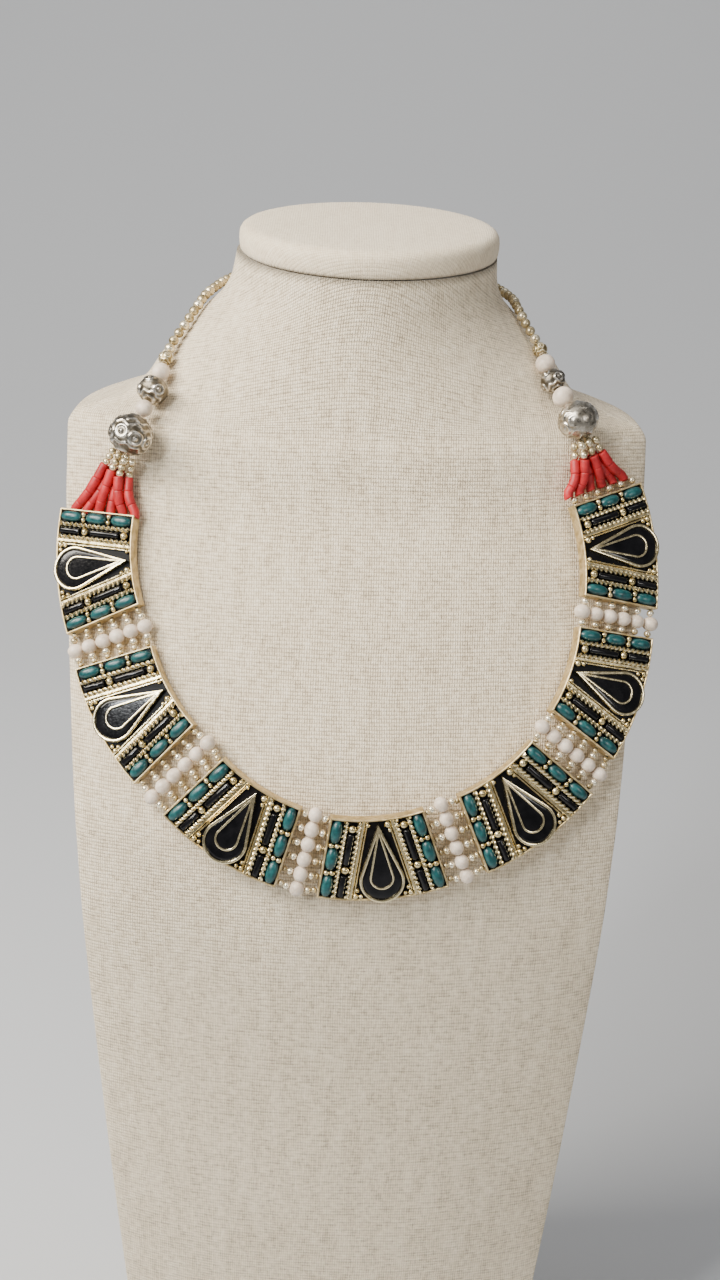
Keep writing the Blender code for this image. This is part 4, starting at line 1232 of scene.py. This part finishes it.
def build_fans(placed, side, route, fan_length, label):
    """The coral strands from the wall to where they gather, and their seeds from there to the large bead."""
    top, _ = along_curve(route, fan_length)
    joint = route[2 * ROUTE_STEPS]
    along = (top - joint).normalized()
    facing = placed.col[2].to_3d()
    facing = (facing - along * facing.dot(along)).normalized()
    across = along.cross(facing)
    if across.dot(hole(placed, side, STRANDS - 1)[0] - hole(placed, side, 0)[0]) < 0:
        across = -across
    corals, seeds = Form(), Form()
    for k in range(STRANDS):
        place = strand_place(k)
        layer = 0.5 if k % 2 else -0.5
        start, leaving = hole(placed, side, k)
        gathered = joint + (across * (place * GATHER_PITCH) + facing * (layer * GATHER_DEPTH)) * CORAL_BEAD
        seed_end = top + (across * (place * TOP_PITCH) + facing * (layer * TOP_DEPTH)) * SEED_TUBE
        if side == 1:
            foot = start + leaving * SEED
            seeds.ball((start + foot) / 2, SEED, leaving, SEED * 0.94, mark=0.1)
            start = foot
        start = start - across * (FAN_SHIFT * (1 + FAN_SPREAD * place))
        drawn = across * (place * HOLE_PITCH * WAIST_DRAW)
        waist = start.lerp(gathered, 0.5) - drawn + facing * (CORAL_BEAD * WAIST_LIFT)
        coral_strand(corals, [start, start + leaving * (CORAL_BEAD * TUBE_BEND), waist, gathered])
        bead_row(seeds, gathered, seed_end, SEED)
    corals.piece(f"coral_strands_{label}", "coral", f"coral_fan_{label}", STONE_ANGLE)
    seeds.piece(f"strand_seeds_{label}", "pearl", f"seed_fan_{label}", ROUND_ANGLE)


def ridge(value, middle, width, height):
    return height * exp(-(((value - middle) / width) ** 2))


def direction(angle, latitude):
    return Vector((cos(latitude) * cos(angle), cos(latitude) * sin(angle), sin(latitude)))


def scroll_shape(medallions, depth, waves, smooth_front):
    """The relief of a cast bead: round medallions with a ball in each, and wavy bands of wire around it."""

    def shape(angle, latitude):
        point = direction(angle, latitude)
        raised = ridge(abs(latitude), *COLLAR)
        for centre, reach in medallions:
            away = acos(max(-1.0, min(1.0, point.dot(centre)))) / reach
            if away < 1.5:
                raised = max(raised, ridge(away, *MEDALLION_RING), ridge(away, *MEDALLION_BALL))
        for middle, swing, phase in waves:
            line = middle + swing * sin(len(medallions) * angle + phase)
            raised = max(raised, ridge(latitude, line, WAVE_WIDTH, WAVE_HEIGHT))
        if smooth_front:
            turned = atan2(sin(angle), cos(angle))
            raised *= min(1.0, max(0.12, abs(turned - 0.1) / 0.6 - 0.5))
            return 1.0 - depth + depth * raised, max(0.0, 0.28 - raised * 0.4)
        return 1.0 - depth + depth * raised, max(0.0, 0.62 - raised * 0.9)

    return shape


def medallion_places(count, reach, turn, latitude, swing):
    """Medallions evenly round the bead, the first at this turn from its front, higher and lower in turns."""
    places = []
    for k in range(count):
        height = latitude + swing * (1 if k % 2 else -1)
        places.append((direction(2 * pi * k / count + turn, height), reach))
    return places


def build_strand(placed, side, chosen, beads, label):
    route = strand_route(placed, side, chosen)
    fan_length = curve_length(route[: 3 * ROUTE_STEPS + 1]) - beads[0][2] * ORNATE / 2 - CLEARANCE
    build_fans(placed, side, route, fan_length, label)
    at = fan_length + CLEARANCE
    for name, diameter, length in beads:
        run = length * ORNATE
        centre, along = along_curve(route, at + run / 2)
        shape, grow, fineness, look = worn_round, 1.0, WHITE_BALL, "white"
        if name in CARVED:
            medallions, depth, waves, grow, fineness, look = CARVED[name]
            smooth_front = name == "ornate_bead" and side == 1
            shape = scroll_shape(medallion_places(*medallions), depth, waves, smooth_front)
        form = Form()
        form.ball(centre, diameter * ORNATE * grow, along, run, fineness, shape)
        form.piece(f"{name}_look_{label}", look, f"{name}_{label}", ROUND_ANGLE)
        at += run + CLEARANCE
    total = curve_length(route) - CLASP_LENGTH / 2 - 2 * CLEARANCE
    form = Form()
    count = round((total - at) / (STRING_BEAD * BEAD_FILL))
    pitch = (total - at) / count
    for k in range(count):
        centre, along = along_curve(route, at + (k + 0.5) * pitch)
        size, mark = (0.94, 0.35) if k % 3 else (1.0, 0.0)
        form.ball(centre, STRING_BEAD * size, along, pitch * BEAD_FILL, STRING_BALL, mark=mark)
    form.piece(f"string_beads_{label}", "pearl", f"back_string_{label}", ROUND_ANGLE)


def dress_clasp():
    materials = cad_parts["clasp"].data.materials
    materials.clear()
    materials.append(LOOKS["silver"][0])


# The stage, the light and the camera


def build_stage():
    """A pale sweep: floor, a round bend and a wall behind."""
    profile = [(FLOOR_FRONT, 0.0), (BEND_FROM, 0.0)]
    for step in range(1, BEND_STEPS + 1):
        angle = pi / 2 * step / BEND_STEPS
        profile.append((BEND_FROM + BEND * sin(angle), BEND - BEND * cos(angle)))
    profile.append((BEND_FROM + BEND, WALL_TOP))
    form = Form()
    points = [(x, y, z) for y, z in profile for x in (-HALF_WIDTH, HALF_WIDTH)]
    form.add(points, [(2 * k, 2 * k + 1, 2 * k + 3, 2 * k + 2) for k in range(len(profile) - 1)])
    shown("stage_sweep", form.mesh("stage_sweep", stage_material()))


def build_light():
    world = bpy.data.worlds.new("studio")
    world.use_nodes = True
    background = world.node_tree.nodes["Background"]
    background.inputs["Color"].default_value = SKY
    background.inputs["Strength"].default_value = SKY_STRENGTH
    bpy.context.scene.world = world
    for name, place, aim, size, power, color in LIGHTS:
        light = bpy.data.lights.new(name, "AREA")
        light.shape = "RECTANGLE"
        light.size, light.size_y = size
        light.energy = power
        light.color = color
        made = shown(name, light)
        made.location = place
        made.rotation_mode = "QUATERNION"
        made.rotation_quaternion = (Vector(aim) - Vector(place)).to_track_quat("-Z", "Y")


def build_camera():
    pitch, yaw, roll = (radians(x) for x in (CAMERA_PITCH, CAMERA_YAW, CAMERA_ROLL))
    aimed = Matrix.Rotation(-yaw, 4, "Z") @ Matrix.Rotation(pi / 2 - pitch, 4, "X")
    back = aimed.col[2].to_3d()
    data = bpy.data.cameras.new("camera")
    data.sensor_width = SENSOR
    data.lens = SENSOR * FOCAL_PIXELS / PICTURE_HEIGHT
    data.clip_start = 0.01
    data.clip_end = 50.0
    made = shown("camera", data)
    place = Matrix.Translation(Vector(CAMERA_TARGET) + back * CAMERA_DISTANCE)
    made.matrix_world = place @ aimed @ Matrix.Rotation(-roll, 4, "Z")
    bpy.context.scene.camera = made


build_camera()
build_light()
build_stage()
build_bust()
build_pad()
PLACED = panel_frames()
build_panels(PLACED)
build_gaps(PLACED)
build_strand(PLACED[0], -1, LEFT_ROUTE, LEFT_BEADS, "left")
build_strand(PLACED[-1], 1, RIGHT_ROUTE, RIGHT_BEADS, "right")
dress_clasp()
